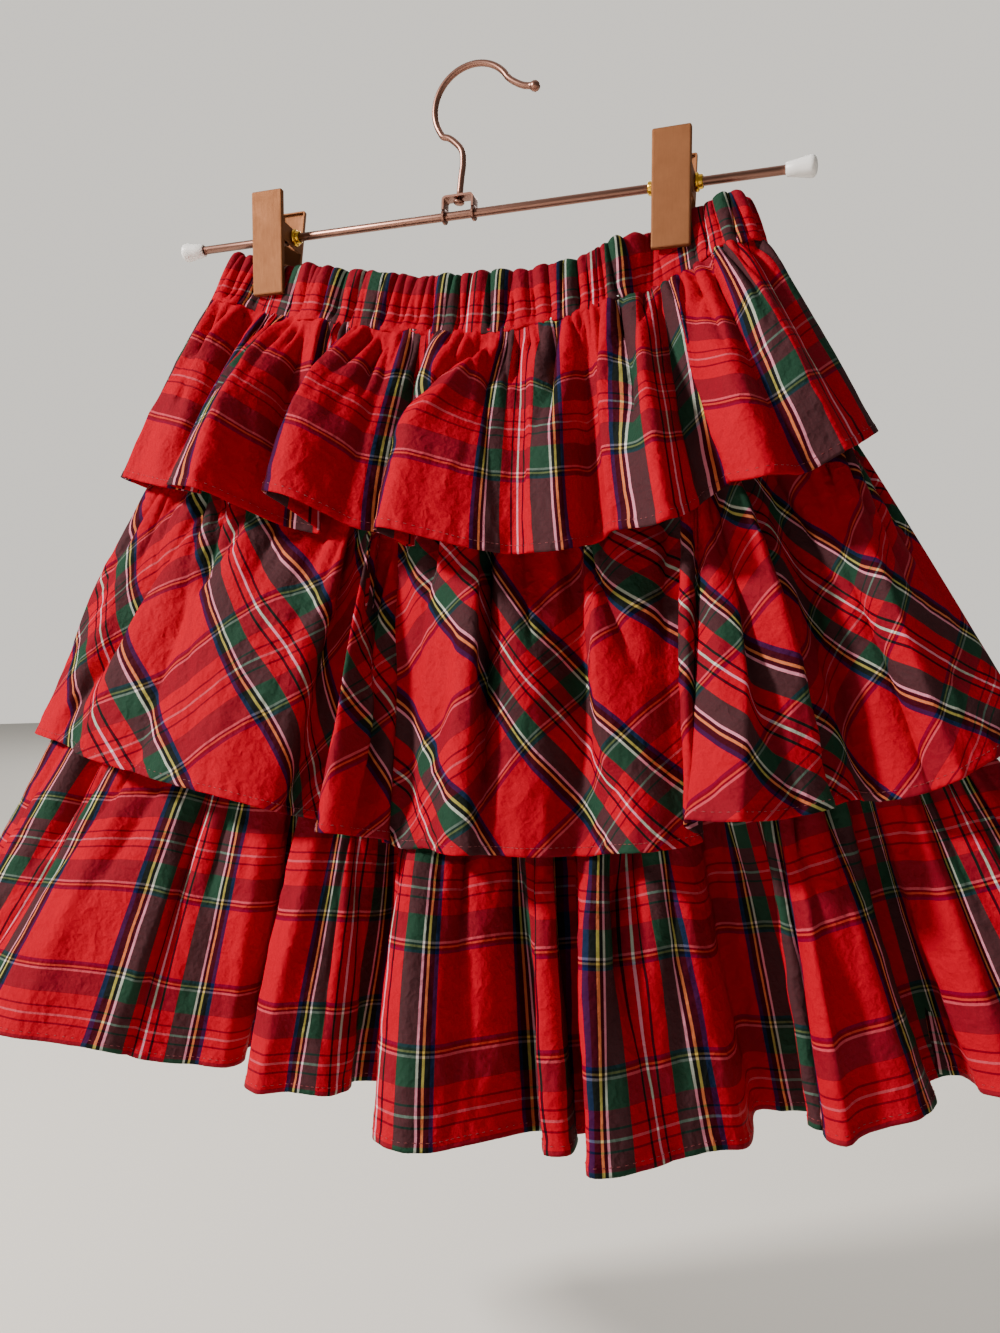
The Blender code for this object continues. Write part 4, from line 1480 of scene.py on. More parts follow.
    def cloth(self, side: Side) -> Cloth:
        """One panel with its gathers, creases, crumples, turned hem and grain.

        Args:
            side: Front or back.

        Returns:
            The sheet.
        """
        first, last = self.span(side)
        share, cut = self.flat(side)
        below = way_along(self.fall(cut, share))
        above_hem = below[-1] - below
        from_side = np.minimum(cut - first, last - cut)
        at_seams = ramp(from_side, 0.0, self.side_fade)
        rise, drawn = self.folded(side, cut, share, below)
        grid = self.fall(kept_in_order(cut, drawn * at_seams), share)
        rise = (rise + self.crumples(cut, below, above_hem)) * at_seams
        outward = outward_of(grid)
        outward[..., 2] *= 1.0 - np.exp(-below / self.level_fade)
        grid = clear_of_base(grid + outward * rise[..., None], side)
        if self.under:
            part = ramp(from_side, 0.0, self.clear_fade)
            grid = clear_of_sheet(grid, self.under.cloth(side).grid, side, part)
        in_hem = 1.0 / (1.0 + np.exp((above_hem - self.hem_fold) / self.hem_edge))
        wall = self.wall + (self.hem_wall - self.wall) * in_hem
        return Cloth(grid, wall, self.grain.at(cut, above_hem))

    def folded(self, side: Side, cut: Array, share: Array, below: Array) -> tuple[Array, Array]:
        """Heights of the gathers and creases of a panel, and how far they draw the cloth along.

        Args:
            side: Front or back.
            cut: Cut length of each point.
            share: Share of the way down of each point.
            below: Distance of each point below the seam.

        Returns:
            Height, below 0 in a trough, and the pull along the cut.
        """
        rise, drawn = self.creases_of(side).folded(cut, share)
        start = 1.0 - 0.95 * np.exp(-below / self.crease_fade)
        rise, drawn = rise * start, drawn * start
        for gathers in self.gathers:
            more_rise, more_drawn = gathers.folded(cut, below)
            rise, drawn = rise + more_rise, drawn + more_drawn
        return rise, drawn

    def crumples(self, cut: Array, below: Array, above_hem: Array) -> Array:
        """Small uneven heights: crumples all over, from the table, and puckers at the hem.

        Args:
            cut: Cut length of each point.
            below: Distance of each point below the seam.
            above_hem: Its distance above the hem.

        Returns:
            Heights.
        """
        seed = self.gathers[0].seed
        lift = np.zeros_like(cut)
        for strength, lean, across, down, shift, crested in CRUMPLES:
            bumps = rolling((cut + lean * below) / across, below / down, seed + shift)
            lift += strength * (1.0 - 2.0 * np.abs(bumps) if crested else bumps)
        bumps = rolling(cut / self.pucker_wide, above_hem / self.pucker_long, seed + 13.0)
        pucker = self.pucker * bumps * np.exp(-((above_hem / self.pucker_above - 1.0) ** 2))
        return self.crumple * lift * (1.0 - np.exp(-below / self.crumple_fade)) + pucker

    def build(self, side: Side, finishes: Finishes) -> None:
        """Makes a panel and the stitches of its hem.

        Args:
            side: Front or back.
            finishes: The materials.
        """
        node = f"{self.name}_{side.value}"
        cloth = self.cloth(side)
        panel = dressed(cloth.object(f"{node}_cloth", finishes.tartan), "cloth", node)
        first, last = self.span(side)
        stitches = Stitches().along(cloth, self.hem_fold - 0.5, last - first)
        thread = dressed(stitches.object(f"{node}_hem_stitches", finishes.thread), "cloth")
        (last - first) * MM


@dataclass(frozen=True)
class Stitches:
    """A row of sewn stitches, each a short rounded thread lying on the cloth."""

    pitch: float = 2.8
    long: float = 1.8
    thick: float = 0.3
    sides: int = 6
    # Places along a stitch, from -1 to 1, and the share of its thickness there.
    shape: Table = ((-1.0, 0.0), (-0.6, 0.85), (0.0, 1.0), (0.6, 0.85), (1.0, 0.0))
    raised: float = 0.15
    end_dip: float = 0.35

    def along(self, cloth: Cloth, above_hem: float, cut: float) -> Parts:
        """Stitches on the outside of a sheet at a distance above its hem.

        Args:
            cloth: The sheet.
            above_hem: Distance of the row from the hem.
            cut: Length of the cut.

        Returns:
            The row's mesh parts.
        """
        grid = cloth.grid
        rows, columns = grid.shape[:2]
        from_hem = way_along(grid[::-1])
        count = int(cut / self.pitch)
        place = (np.arange(count) + 0.5) / count * (columns - 1)
        column = np.clip(place.astype(int), 0, columns - 2)
        row = np.argmax(from_hem[:, column] >= above_hem, axis=0)
        low, high = from_hem[row - 1, column], from_hem[row, column]
        rise = ((above_hem - low) / np.maximum(high - low, 1e-6))[:, None]
        part = (place - column)[:, None]

        def read(values: Array) -> Array:
            """The sheet's values at the stitches.

            Args:
                values: A value or vector for each point of the sheet.

            Returns:
                Blends of the four points round each stitch.
            """
            under, over = (
                values[at, column] * (1.0 - part) + values[at, column + 1] * part
                for at in (rows - row, rows - 1 - row)
            )
            return under + (over - under) * rise

        up = unit(read(outward_of(grid)))
        way = unit(grid[rows - row, column + 1] - grid[rows - row, column])
        centre = read(grid) + up * (cloth.wall[-1].mean() / 2.0 + self.thick * self.raised)
        end, swell = np.array(self.shape).T[..., None, None]
        angle = np.linspace(0.0, 2.0 * np.pi, self.sides, endpoint=False)[:, None]
        aside, up, way, centre = (v[:, None, None] for v in (np.cross(way, up), up, way, centre))
        middle = centre + way * (end * self.long / 2.0) - up * (np.abs(end) * self.thick * self.end_dip)
        around = aside * np.cos(angle) + up * np.sin(angle)
        stitch = grid_faces(len(self.shape), self.sides, closed=True)
        shift = np.arange(count)[:, None, None] * (len(self.shape) * self.sides)
        parts = Parts()
        parts.put(middle + around * (self.thick / 2.0 * swell), (stitch[None] + shift).reshape(-1, 4))
        return parts


def ruffles() -> tuple[Ruffle, ...]:
    """Sizes of the three ruffles.

    Returns:
        The ruffles from the top down, each told which one is under it.
    """
    tiers = (
        Ruffle(
            name="tier_1",
            front=HEM_1,
            folds=BackFolds(17, 30.0, 18.0, 26.0, -252.0),
            across=0.95,
            deep=1.5,
            seam=SEAM_1,
            grain=Grain(0.0, 61.0),
            gathers=(Gathers(14.0, 7.4, 38.0, 2.8, 1.0, 3.4), Gathers(7.0, 5.2, 26.0, 1.7, 1.7)),
            column_step=1.3,
            creases=Creases(FOLDS_1),
            length=118.0,
            rests_on="waistband",
        ),
        Ruffle(
            name="tier_2",
            front=HEM_2,
            folds=BackFolds(21, 34.0, 18.5, 27.0, -386.0),
            across=0.95,
            deep=1.15,
            seam=SEAM_2,
            grain=Grain(48.0, 17.1, (2.9, -0.0321, 0.1941, -0.000418), (10.2, -0.0176, 0.1054, 0.00036)),
            gathers=(Gathers(18.0, 8.6, 68.0, 3.6, 4.0, 3.8), Gathers(8.5, 5.8, 44.0, 2.3, 4.7)),
            creases=Creases(FOLDS_2),
            length=166.0,
        ),
        Ruffle(
            name="tier_3",
            front=HEM_3,
            folds=BackFolds(27, 36.0, 6.0, 27.0, -508.0),
            across=1.1,
            deep=1.0,
            seam=SEAM_3,
            grain=Grain(0.0, 13.4),
            gathers=(Gathers(17.0, 8.4, 64.0, 3.4, 8.0, 3.8), Gathers(8.5, 5.6, 40.0, 2.2, 8.7)),
            column_step=1.75,
            creases=Creases(FOLDS_3),
            length=155.0,
        ),
    )
    for upper, lower in zip(tiers, tiers[1:]):
        upper.under = lower
    return tiers


# Waistband and base


def first_angle(side: Side) -> float:
    """Angle round the rings where a panel starts, at its side seam."""
    return side.outward * np.pi / 2


def panel_angles(side: Side, gap: float, count: int) -> Array:
    """Angles round the rings from one side seam to the other, a little inside both."""
    return np.linspace(first_angle(side) + gap, first_angle(side) + np.pi - gap, count)


@dataclass
class Waistband:
    """Band of tartan folded over elastic: one strip up the outside, over the top and down the inside.

    Its gathers are upright troughs that press both layers in and draw the cloth beside them together.
    """

    # Place across of each thin white line, and its distance along the cut.
    lines: Table = ((-153, -244), (-117, -184), (-59, -92), (7, 0), (70, 92), (124, 184), (147, 226))
    # Across the fold, up the outside and down the inside: share of the height, distance outward.
    outside: Table = ((-0.04, 1.4), (0.0, 1.75), (0.08, 1.95), (0.3, 2.05), (0.5, 2.15), (0.7, 2.0))
    top: Table = ((0.86, 1.7), (0.95, 1.3), (1.0, 0.6), (1.012, 0.0), (1.0, -0.6), (0.95, -1.2))
    inside: Table = ((0.8, -1.5), (0.5, -1.6), (0.2, -1.5), (0.0, -1.2))
    pitch: float = 8.8
    depth: float = 5.6
    width: float = 2.5
    point: float = 1.3
    draw: float = 0.6
    first_cut: float = -500.0
    last_cut: float = 600.0
    columns: tuple[int, int] = (600, 400)
    rows: tuple[int, int] = (50, 38)
    side_gap: float = 0.0008
    side_fade: float = 0.06
    # How far a clip's jaws reach along the band, and the share of its gathers that they press out.
    clip_wide: float = 12.5
    clip_hold: float = 0.85
    # Swell of the folded band, what it gains where it is free, and the share of the gathers inside it.
    swell: float = 0.82
    free_swell: float = 0.3
    inside_share: float = 0.8
    # Ripples of the top edge and the low edge: height, length, mean, seed, and power of their fading.
    ripples: Table = ((0.9, 7.0, 0.0, 31.0, 3), (1.1, 9.0, -0.5, 33.0, 4))
    wall: float = 0.5
    height: float = 31.0
    line_down: float = 21.0

    def gather(self, cut: Array, share: Array) -> tuple[Array, Array]:
        """Depth of the gathers and how far they draw the cloth along.

        Each is a pointed bell across, with its own strength at the band's top edge and at its low edge.

        Args:
            cut: Cut length of each point.
            share: Share of the way up of each point.

        Returns:
            Depth, and the pull along the cut.
        """
        index = np.arange(int((self.last_cut - self.first_cut) / self.pitch))
        place = self.first_cut + np.cumsum(self.pitch * uneven(index, 21.0, 0.45, 1.55))
        depth = self.depth * uneven(index, 22.0, 0.25, 1.35)
        width = self.width * uneven(index, 26.0, 0.6, 1.4)
        lean = uneven(index, 23.0, -4.5, 4.5)
        top, low = uneven(index, 24.0, 0.45, 1.0), uneven(index, 25.0, 0.6, 1.35)
        low_edge = 0.1 + 0.9 * ramp(share, 0.0, 0.22)
        sink, drawn = np.zeros_like(cut), np.zeros_like(cut)
        for centre, deep, wide, leaning, at_top, at_low in zip(place, depth, width, lean, top, low):
            off = cut - centre - leaning * (share - 0.5)
            strength = (at_low + (at_top - at_low) * share) * low_edge
            near = np.exp(-(np.abs(off / wide) ** self.point)) * strength
            sink += deep * near
            drawn -= self.draw * off * near
        return sink, drawn

    def cloth(self, side: Side) -> Cloth:
        """One panel of the band.

        Args:
            side: Front or back.

        Returns:
            The sheet, from the outer seam over the top to the inner seam.
        """
        columns, rows = (pair[side is Side.BACK] for pair in (self.columns, self.rows))
        angle = panel_angles(side, self.side_gap, columns)
        fold = np.array(self.outside + self.top + self.inside, float)
        steps = way_along(fold * [self.height, 1.0])
        way = np.linspace(0.0, steps[-1], rows)
        share, out = (curve_through(steps, fold[:, k], way)[:, None] for k in (0, 1))
        lines = np.array(self.lines, float)
        across = WAIST_SEAM.middle + WAIST_SEAM.half_width * np.sin(angle)
        cut = curve_through(lines[:, 0], lines[:, 1], across)
        if side is Side.BACK:
            cut = 2.0 * lines[-1, 1] - cut
        cuts, shares = np.repeat(cut[None], rows, 0), np.repeat(share, columns, 1)
        up = np.clip(shares, 0.0, 1.0)
        sink, drawn = self.gather(cuts, up)
        at_seams = ramp(np.minimum(angle - angle[0], angle[-1] - angle), 0.0, self.side_fade)
        low, high = (
            np.stack([ring.plain(angle), ring.outward_at(angle)]) for ring in (WAIST_SEAM, WAIST_TOP)
        )
        grid, outward = low[:, None] + (high - low)[:, None] * shares[..., None]
        along = np.gradient(grid, axis=1) / np.gradient(cuts, axis=1)[..., None]
        held = near_clips(grid[..., 0], self.clip_wide, 6)
        free = np.prod([1.0 - self.clip_hold * near for near in held], axis=0)
        layer = np.where(out > 0.0, 1.0, self.inside_share)
        bulge = out * (self.swell + self.free_swell * free) - sink * layer * free * at_seams
        grid = grid + unit(outward) * bulge[..., None] + along * (drawn * at_seams)[..., None]
        for (lift, long, mean, seed, power), near in zip(self.ripples, (up, 1.0 - up)):
            ripple = lift * rolling(cuts / long, 0.0 * cuts, seed) + mean
            grid[..., 2] += ripple * near**power * at_seams
        from_line = np.abs(way - self.height) - self.line_down
        grain = np.stack([cuts, np.repeat(from_line[:, None], columns, 1)], axis=-1)
        return Cloth(grid, np.full(cuts.shape, self.wall), grain)

    def build(self, side: Side, finishes: Finishes) -> None:
        """Makes a panel of the band.

        Args:
            side: Front or back.
            finishes: The materials.
        """
        node = f"waistband_{side.value}"
        band = dressed(self.cloth(side).object(f"{node}_cloth", finishes.tartan), "cloth", node)
        2.0 * self.height * MM


@dataclass
class Base:
    """Plain panels that hang from the band and carry the two lower ruffles."""

    columns: int = 120
    rows: int = 50
    side_gap: float = 0.0009
    # Distance between the two lower rings, and how far the base goes on past the last.
    step: float = 135.0
    tail: float = 4.0
    flat_width: float = 400.0
    flat_step: float = 130.0
    wall: float = 0.4

    def cloth(self, side: Side) -> Cloth:
        """One panel: ruled from the waist to the middle ring and on past the low ring.

        Args:
            side: Front or back.

        Returns:
            The sheet.
        """
        angle = panel_angles(side, self.side_gap, self.columns)
        waist, middle, low = (ring.at(angle) for ring in (BASE_WAIST, BASE_MIDDLE, BASE_LOW))
        ring = np.linspace(0.0, 2.0 + self.tail / self.step, self.rows)
        turn, ring = np.meshgrid(angle - first_angle(side), ring)
        down = ring[..., None]
        upper = waist + (middle - waist) * np.minimum(down, 1.0)
        grid = np.where(down <= 1.0, upper, middle + (low - middle) * (down - 1.0))
        cut, below = turn / np.pi * self.flat_width, ring * self.flat_step
        free = np.sqrt(np.sin(turn) * np.sin(np.pi * np.minimum(ring / 2.0, 1.0)))
        lift = 0.35 * rolling(cut / 24.0, below / 60.0, 41.0) + 0.15 * rolling(cut / 9.0, below / 20.0, 42.0)
        grid = grid - outward_of(grid) * (np.abs(lift) * free)[..., None]
        return Cloth(grid, np.full(cut.shape, self.wall), np.stack([cut, below], axis=-1))

    def build(self, side: Side, finishes: Finishes) -> None:
        """Makes a panel of the base.

        Args:
            side: Front or back.
            finishes: The materials.
        """
        node = f"base_{side.value}"
        panel = dressed(self.cloth(side).object(f"{node}_cloth", finishes.lining), "cloth", node)


# Hanger


def swept(path: Array, radii: Array, reference: Sequence[float], sides: int) -> Array:
    """Rings round a path: at each point a circle square to the path, its radius given.

    Args:
        path: Points of the centre line.
        radii: Radius at each point.
        reference: A direction that the path never takes.
        sides: Points in each ring.

    Returns:
        Rings of points.
    """
    along = unit(np.gradient(path, axis=0))
    first = unit(np.cross(along, np.asarray(reference, float)))
    second = np.cross(along, first)
    angle = np.linspace(0.0, 2.0 * np.pi, sides, endpoint=False)[None, :, None]
    circle = first[:, None] * np.cos(angle) + second[:, None] * np.sin(angle)
    return path[:, None] + circle * np.asarray(radii)[:, None, None]


def turned(profile: Sequence[Sequence[float]], sides: int = 48) -> Array:
    """Rings of a body turned about X.

    Args:
        profile: Rows of place along and radius.
        sides: Points in each ring.

    Returns:
        Rings of points.
    """
    table = np.array(profile, float)
    angle = np.linspace(0.0, 2.0 * np.pi, sides, endpoint=False)
    x = np.repeat(table[:, :1], sides, axis=1)
    return np.stack([x, table[:, 1:] * np.cos(angle), table[:, 1:] * np.sin(angle)], axis=-1)


def rounded_rectangle(half_width: float, half_height: float, corner: float, inset: float) -> Array:
    """Outline of a rounded rectangle, drawn in by an inset, as points of X and Z.

    Args:
        half_width: Half the width.
        half_height: Half the height.
        corner: Corner radius.
        inset: Distance inside the outline.

    Returns:
        Points once round, the same number for every inset.
    """
    least_radius, least_centre = 0.08, 0.01
    radius = max(corner - inset, least_radius)
    centre = np.maximum(np.array([half_width, half_height]) - inset - radius, least_centre)
    quarters = np.array([(1, 1), (-1, 1), (-1, -1), (1, -1)])[:, None]
    angle = np.arange(4)[:, None] * np.pi / 2.0 + np.linspace(0.0, np.pi / 2.0, 7)
    return (quarters * centre + radius * circle(angle)).reshape(-1, 2)


@dataclass(frozen=True)
class HangerSizes:
    """Sizes that the hanger's pieces share."""

    tilt: float = np.radians(0.85)
    rod_height: float = -76.3
    rod_radius: float = 2.15
    rod_left: float = -171.0
    rod_right: float = 164.0
    wire_radius: float = 1.65
    loop_radius: float = 21.5
    ball_radius: float = 2.7

    def placed(self, points: Array, across: float = 0.0) -> Array:
        """Points given about the rod's axis, put at a place along the tilted rod.

        Args:
            points: The points.
            across: Place across.

        Returns:
            Points in the part's frame.
        """
        c, s = np.cos(self.tilt), np.sin(self.tilt)
        turn = np.array([[c, 0.0, s], [0.0, 1.0, 0.0], [-s, 0.0, c]])
        return points @ turn.T + [across, 0.0, self.rod_height - across * np.tan(self.tilt)]


HANGER = HangerSizes()


@dataclass
class Hanger:
    """Rod with end caps, and the hook in its bracket."""

    finishes: Finishes
    rod_rim: float = 0.3
    # Cap, from its bore over its flare to its end: place along, outward from the rod's end, and radius.
    cap_bore: Table = ((0.3, 0.6), (0.3, 2.4), (-8.7, 2.4), (-8.7, 2.9), (-8.4, 3.2))
    cap_flare: Table = ((-4.0, 3.9), (0.0, 4.6), (2.0, 4.95), (3.1, 4.95))
    cap_end: Table = ((4.0, 4.5), (4.7, 3.6), (5.1, 2.3), (5.3, 0.6))
    # Hook wire: place across and height of its centre line before and after its loop.
    tip: Table = ((30.4, -15.6), (27.2, -14.8), (23.6, -12.9))
    loop_turn: tuple[float, float] = (31.0, 221.0)
    stem: Table = ((-14.6, -34.4), (-9.4, -38.2), (-6.0, -42.6), (-5.2, -49.0), (-6.0, -57.0), (-6.6, -64.0))
    ball_turn: tuple[float, float] = (89.0, -38.0)
    # Rivet head: distance past the wire's end and radius.
    rivet: Table = ((5.0, 1.65), (5.02, 2.8), (5.8, 2.9), (6.5, 2.3), (6.8, 1.2))
    bracket_across: float = -6.8
    bracket_wide: float = 17.5
    bracket_deep: float = 7.0
    bracket_top: float = 9.7
    bracket_low: float = 2.6
    bracket_wall: float = 1.3
    bracket_bend: float = 1.6
    # Round the strip's section: shares of half its thickness and of half its depth.
    strip: Table = ((1, 0.9), (0.9, 1), (-0.9, 1), (-1, 0.9), (-1, -0.9), (-0.9, -1), (0.9, -1), (1, -0.9))
    # Ring at the end of a leg: place along the rod and radius.
    leg_ring: Table = ((-0.65, 2.45), (-0.65, 3.6), (-0.5, 3.8), (0.5, 3.8), (0.65, 3.6), (0.65, 2.45))

    def rod(self) -> None:
        """Plain round rod with its rims eased."""
        half, radius, rim = (HANGER.rod_right - HANGER.rod_left) / 2.0, HANGER.rod_radius, self.rod_rim
        ends = [(half - rim, radius), (half, radius - rim)]
        profile = [*((-along, wide) for along, wide in reversed(ends)), (0.0, radius), *ends]
        parts = Parts()
        parts.put_rings(HANGER.placed(turned(profile), (HANGER.rod_left + HANGER.rod_right) / 2.0))
        dressed(parts.object("rod_tube", self.finishes.wire), "wire", "hanger_rod")

    def caps(self) -> None:
        """Flared caps, rounded at their wide ends, with a bore for the rod."""
        rings = turned(self.cap_bore + self.cap_flare + self.cap_end)
        for name, across, mirror in (("right", HANGER.rod_right, 1), ("left", HANGER.rod_left, -1)):
            parts = Parts()
            parts.put_rings(HANGER.placed(rings * [mirror, 1, 1], across))
            cap = parts.object(f"{name}_end_cap", self.finishes.cap, sharp=50.0)
            dressed(cap, "cap", f"rod_cap_{name}")

    def hook(self) -> None:
        """Wire with a ball at its tip, round its loop and down to a rivet head under the bracket."""
        turn = np.radians(np.linspace(*self.loop_turn, 22))
        loop = circle(turn) * HANGER.loop_radius
        knots = np.concatenate([self.tip, loop + [0.0, HANGER.wire_radius - HANGER.loop_radius], self.stem])
        length = way_along(knots)
        way = np.linspace(0.0, length[-1], 200)
        wire = np.stack([curve_through(length, knots[:, k], way) for k in (0, 1)], axis=-1)
        angle = np.radians(np.linspace(*self.ball_turn, 14))
        ball = wire[0] + unit(wire[0] - wire[1]) * (HANGER.ball_radius * (1.0 + np.sin(angle)))[:, None]
        rivet = np.array(self.rivet)
        head = wire[-1] + unit(wire[-1] - wire[-2]) * rivet[:, :1]
        path = np.insert(np.concatenate([ball, wire, head]), 1, 0.0, axis=1)
        wire_radii = np.full(len(wire), HANGER.wire_radius)
        radii = np.concatenate([HANGER.ball_radius * np.cos(angle), wire_radii, rivet[:, 1]])
        parts = Parts()
        parts.put_rings(swept(path, radii, (0.0, 1.0, 0.0), 24))
        dressed(parts.object("hook_with_ball", self.finishes.wire), "wire", "hook_wire")

    def bracket(self) -> None:
        """Bent strip over the rod, each leg ending in a ring round it."""
        wall, bend = self.bracket_wall / 2.0, self.bracket_bend
        half, top = self.bracket_wide / 2.0 - wall, self.bracket_top - wall
        corner = circle(np.linspace(0.0, np.pi / 2.0, 8)) * bend + [half - bend, top - bend]
        right = np.concatenate([[[half, self.bracket_low]], corner])
        line = np.concatenate([right, right[::-1] * [-1.0, 1.0]])
        along = unit(np.gradient(line, axis=0))
        side = np.stack([along[:, 1], -along[:, 0]], axis=-1) * wall
        deep = self.bracket_deep / 2.0
        rings = [np.insert(line + side * out, 1, share * deep, axis=1) for out, share in self.strip]
        parts = Parts()
        parts.put_rings(HANGER.placed(np.stack(rings, axis=1), self.bracket_across))
        for leg in (-half, half):
            ring = turned(self.leg_ring, 40) + [leg, 0.0, 0.0]
            parts.put_tube(HANGER.placed(ring, self.bracket_across))
        dressed(parts.object("hook_saddle", self.finishes.wire, sharp=40.0), "wire", "hook_bracket")

    def build(self) -> None:
        """Makes the rod, caps, hook and bracket."""
        self.rod()
        self.caps()
        self.hook()
        self.bracket()


@dataclass
class Clip:
    """Spring clip on the rod: two pressed plates with lugs, a coil spring and two bushings."""

    finishes: Finishes
    name: str
    across: float
    # Plates: the back one is narrower, and both slope toward each other.
    half_width: float = 9.3
    back_narrower: float = 1.3
    top: float = 21.0
    low: float = -33.5
    face_top: float = 14.6
    face_low: float = 9.4
    lip: float = 2.6
    wall: float = 0.9
    corner: float = 1.0
    # Lugs: height of the root, then outward and height of the corners round the rod.
    lug_thick: float = 0.9
    lug_inset: float = 0.5
    lug_root: float = 4.9
    lug_end: Table = ((0.0, -4.4), (-3.1, -3.1), (-4.4, 0.0), (-3.1, 3.1), (0.0, 4.4))
    lug_ease: float = 0.15
    lug_play: float = 0.3
    # Spring: the coil, its wire, and how far its ends reach outward and up.
    spring_turns: float = 8.0
    spring_half: float = 4.6
    spring_radius: float = 3.15
    spring_wire: float = 0.45
    spring_front: Triple = (0.0, -12.6, 12.5)
    spring_back: Triple = (0.0, 5.2, 12.5)
    # Bushing, from its flange to its neck: place along from the clip's middle and radius.
    flange: Table = ((9.6, 2.45), (9.6, 4.0), (9.8, 4.35), (10.3, 4.45), (10.8, 4.35), (11.1, 4.0))
    neck: Table = ((11.3, 3.4), (12.6, 3.3), (13.0, 3.1), (13.2, 2.7), (13.2, 2.45))

    def face_at(self, height: Array) -> Array:
        """Distance of a plate's face from the rod's upright plane at each height."""
        return self.face_low + (height - self.low) * (self.face_top - self.face_low) / (self.top - self.low)

    def tray(self, side: Side, half_width: float) -> Array:
        """Rings of a pressed plate: up its inner face, over its rim and across its outer face.

        Args:
            side: Front or back.
            half_width: Half its width.

        Returns:
            Rings of points about the rod's axis.
        """
        lip, wall, middle = self.lip, self.wall, half_width - 0.4
        # Each ring's distance inside the outline and its depth under the outer face.
        inner = ((middle, 0.75), (4.5, 0.8), (1.9, 0.95), (1.2, 1.3), (wall, 1.9), (wall, lip - 0.1))
        rim = ((0.75, lip), (0.15, lip), (0.0, lip - 0.15), (0.0, 0.8), (0.12, 0.34), (0.4, 0.08))
        face = ((0.8, 0.0), (1.3, 0.0), (4.5, 0.0), (middle, 0.0))
        rings = []
        for inset, depth in (*inner, *rim, *face):
            outline = rounded_rectangle(half_width, (self.top - self.low) / 2.0, self.corner, inset)
            x, height = outline.T + [[0.0], [(self.top + self.low) / 2.0]]
            rings.append(np.stack([x, side.outward * (self.face_at(height) - depth), height], axis=-1))
        return np.stack(rings)

    def lug(self, side: Side, place: float) -> Array:
        """Rings of a lug: a flat plate from the tray's wall round the rod, with its hole.

        Args:
            side: Front or back.
            place: Its middle along the rod.

        Returns:
            Rings of points about the rod's axis.
        """
        way = circle(np.linspace(0.0, 2.0 * np.pi, 48, endpoint=False))
        root = self.face_at(0.0) - self.lip + 1.2
        corners = np.array([(root, self.lug_root), (root, -self.lug_root), *self.lug_end])
        edge = np.roll(corners, -1, axis=0) - corners
        normal = unit(np.stack([-edge[:, 1], edge[:, 0]], axis=-1))
        reach = (normal * corners).sum(axis=1)
        facing = way @ (normal * np.sign(reach)[:, None]).T
        outer = np.where(facing > 1e-6, np.abs(reach) / np.maximum(facing, 1e-6), np.inf).min(axis=1)
        hole = np.full_like(outer, HANGER.rod_radius + self.lug_play)
        half = ((1.0, hole), (1.0, outer - self.lug_ease), (0.7, outer))
        rings = []
        for along, radius in (*((-along, radius) for along, radius in half), *reversed(half)):
            x = np.full_like(hole, place + along * self.lug_thick / 2.0)
            rings.append(np.stack([x, side.outward * way[:, 0] * radius, way[:, 1] * radius], axis=-1))
        return np.stack(rings)

    def plate(self, side: Side) -> None:
        """One plate with its two lugs.

        Args:
            side: Front or back.
        """
        half_width = self.half_width - (self.back_narrower if side is Side.BACK else 0.0)
        parts = Parts()
        parts.put_rings(HANGER.placed(self.tray(side, half_width), self.across))
        for mirror in (-1.0, 1.0):
            lug = self.lug(side, mirror * (half_width - self.lug_inset))
            parts.put_tube(HANGER.placed(lug, self.across))
        plate = parts.object(f"{self.name}_clip_{side.value}_plate", self.finishes.plate, sharp=38.0)
        dressed(plate, "clip", f"clip_{self.name}_{side.value}")

    def spring(self) -> None:
        """Coil round the rod, each end run out to press a plate."""
        turn = np.linspace(0.0, 1.0, 260)
        angle = turn * self.spring_turns * 2.0 * np.pi
        y, z = self.spring_radius * np.cos(angle), self.spring_radius * np.sin(angle)
        coil = np.stack([self.spring_half * (2.0 * turn - 1.0), y, z], axis=-1)
        run = np.linspace(0.0, 1.0, 12)[:, None]
        start = coil[0] + np.array(self.spring_back) * run[::-1]
        end = coil[-1] + np.array(self.spring_front) * run
        path = np.concatenate([start[:-1], coil, end[1:]])
        parts = Parts()
        rings = swept(path, np.full(len(path), self.spring_wire), (1.0, 0.0, 0.0), 8)
        parts.put_rings(HANGER.placed(rings, self.across))
        spring = parts.object(f"{self.name}_clip_spring", self.finishes.spring)
        dressed(spring, "wire", f"clip_{self.name}_spring")

    def bushings(self) -> None:
        """Flanged bushings on the rod at both sides of the clip."""
        rings = turned(self.flange + self.neck)
        for name, mirror in (("right", 1), ("left", -1)):
            parts = Parts()
            parts.put_tube(HANGER.placed(rings * [mirror, 1, 1], self.across))
            bushing = parts.object(f"{self.name}_clip_{name}_bushing", self.finishes.bushing, sharp=45.0)
            dressed(bushing, "bushing", f"clip_{self.name}_bush_{name}")

    def build(self) -> None:
        """Makes the plates, spring and bushings."""
        self.plate(Side.FRONT)
        self.plate(Side.BACK)
        self.spring()
        self.bushings()


# Stage


@dataclass(frozen=True)
class Lamp:
    """Square soft light aimed at the middle of the skirt, or at another target."""

    name: str
    place: Triple
    size: float
    power: float
    colour: Triple
    target: Triple = (0.0, -0.02, -0.3)

    def build(self) -> None:
        """Makes the light."""
        data = bpy.data.lights.new(self.name, "AREA")
        data.size = self.size
        data.energy = self.power
        data.color = self.colour
        aim = Vector(self.target) - Vector(self.place)
        turn = aim.to_track_quat("-Z", "Y").to_matrix().to_4x4()
        linked(self.name, data).matrix_world = Matrix.Translation(self.place) @ turn


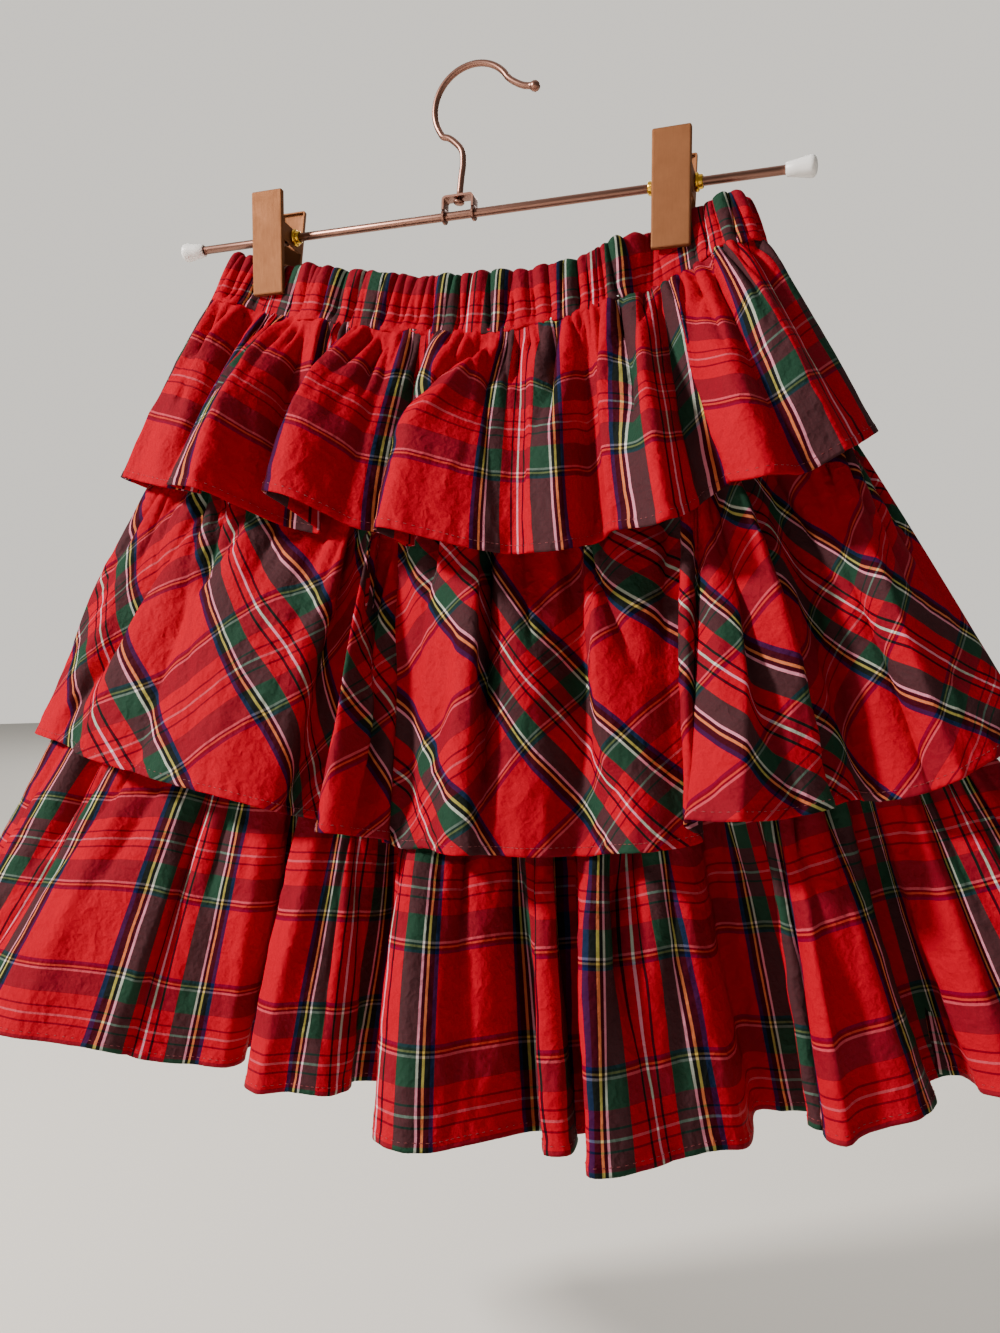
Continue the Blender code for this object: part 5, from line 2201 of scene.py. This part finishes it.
@dataclass(frozen=True)
class Studio:
    """Pale floor, soft lights and the camera."""

    eye: Triple = (0.1883, -0.4701, -0.3214)
    turn: float = 19.7
    pitch: float = 1.5
    roll: float = 1.04
    lens: float = 36.0
    sensor: float = 36.0
    floor_height: float = -0.78
    floor_half: float = 9.0

    def camera(self) -> None:
        """Camera that sees the skirt from the front and a little from its right."""
        turn, pitch, roll = np.radians([self.turn, self.pitch, self.roll])
        ahead = np.array([-np.sin(turn) * np.cos(pitch), np.cos(turn) * np.cos(pitch), np.sin(pitch)])
        level = np.array([np.cos(turn), np.sin(turn), 0.0])
        upright = np.cross(level, ahead)
        right = level * np.cos(roll) + upright * np.sin(roll)
        up = upright * np.cos(roll) - level * np.sin(roll)
        data = bpy.data.cameras.new("camera")
        data.sensor_fit = "HORIZONTAL"
        data.sensor_width = self.sensor
        data.lens = self.lens
        thing = linked("camera", data)
        axes = Matrix(np.column_stack([right, up, -ahead]).tolist()).to_4x4()
        thing.matrix_world = Matrix.Translation(self.eye) @ axes
        bpy.context.scene.camera = thing

    def floor(self) -> None:
        """Large pale floor with a faint mottle."""
        half = self.floor_half
        corners = [(-half, -half), (half, -half), (half, half), (-half, half)]
        mesh = bpy.data.meshes.new("floor")
        mesh.from_pydata([(x, y, self.floor_height) for x, y in corners], [], [(0, 1, 2, 3)])
        nodes = Nodes("pale floor")
        mottle = nodes.noise(nodes.place(), 3.0, 3.0)
        colour = nodes.mix(mottle * 0.3, paint(226, 221, 212), paint(216, 211, 203))
        nodes.feed(nodes.shader, {"Base Color": colour, "Roughness": 0.85})
        mesh.materials.append(nodes.material)
        linked("floor", mesh)

    def lights(self) -> None:
        """Warm key from the left, light from behind, and one each for the ground and from overhead."""
        Lamp("key", (-1.7, -1.4, 0.85), 0.25, 122.0, (1.0, 0.95, 0.91)).build()
        Lamp("behind", (-0.6, 1.8, 0.9), 1.4, 22.0, (1.0, 0.97, 0.93)).build()
        Lamp("ground", (-1.0, 5.0, 3.2), 4.0, 260.0, (1.0, 0.99, 0.97), (-1.0, 6.0, -0.8)).build()
        overhead = bpy.data.lights.new("overhead", "SUN")
        overhead.energy = 0.5
        overhead.angle = 1.2
        linked("overhead", overhead)

    def surround(self) -> None:
        """Pale surround, brighter where the camera sees it than where it lights the skirt."""
        world = bpy.data.worlds.new("surround")
        world.use_nodes = True
        tree = world.node_tree
        background = tree.nodes["Background"]
        background.inputs[0].default_value = paint(224, 219, 211)
        seen = tree.nodes.new("ShaderNodeLightPath").outputs["Is Camera Ray"]
        strength = tree.nodes.new("ShaderNodeMath")
        strength.operation = "MULTIPLY_ADD"
        strength.inputs[1].default_value = 1.03
        strength.inputs[2].default_value = 0.28
        tree.links.new(seen, strength.inputs[0])
        tree.links.new(strength.outputs[0], background.inputs[1])
        bpy.context.scene.world = world

    def build(self) -> None:
        """Makes the camera, floor, lights and surround."""
        self.camera()
        self.floor()
        self.lights()
        self.surround()


def main() -> None:
    """Builds the stage, the hanger and the skirt."""
    logging.basicConfig(level=logging.INFO, format="%(message)s")
    Studio().build()
    finishes = Finishes()
    Hanger(finishes).build()
    for name, across in zip(("left", "right"), CLIP_PLACES):
        Clip(finishes, name, across).build()
    for side in Side:
        Waistband().build(side, finishes)
        Base().build(side, finishes)
        for ruffle in ruffles():
            ruffle.build(side, finishes)


if __name__ == "__main__":
    main()
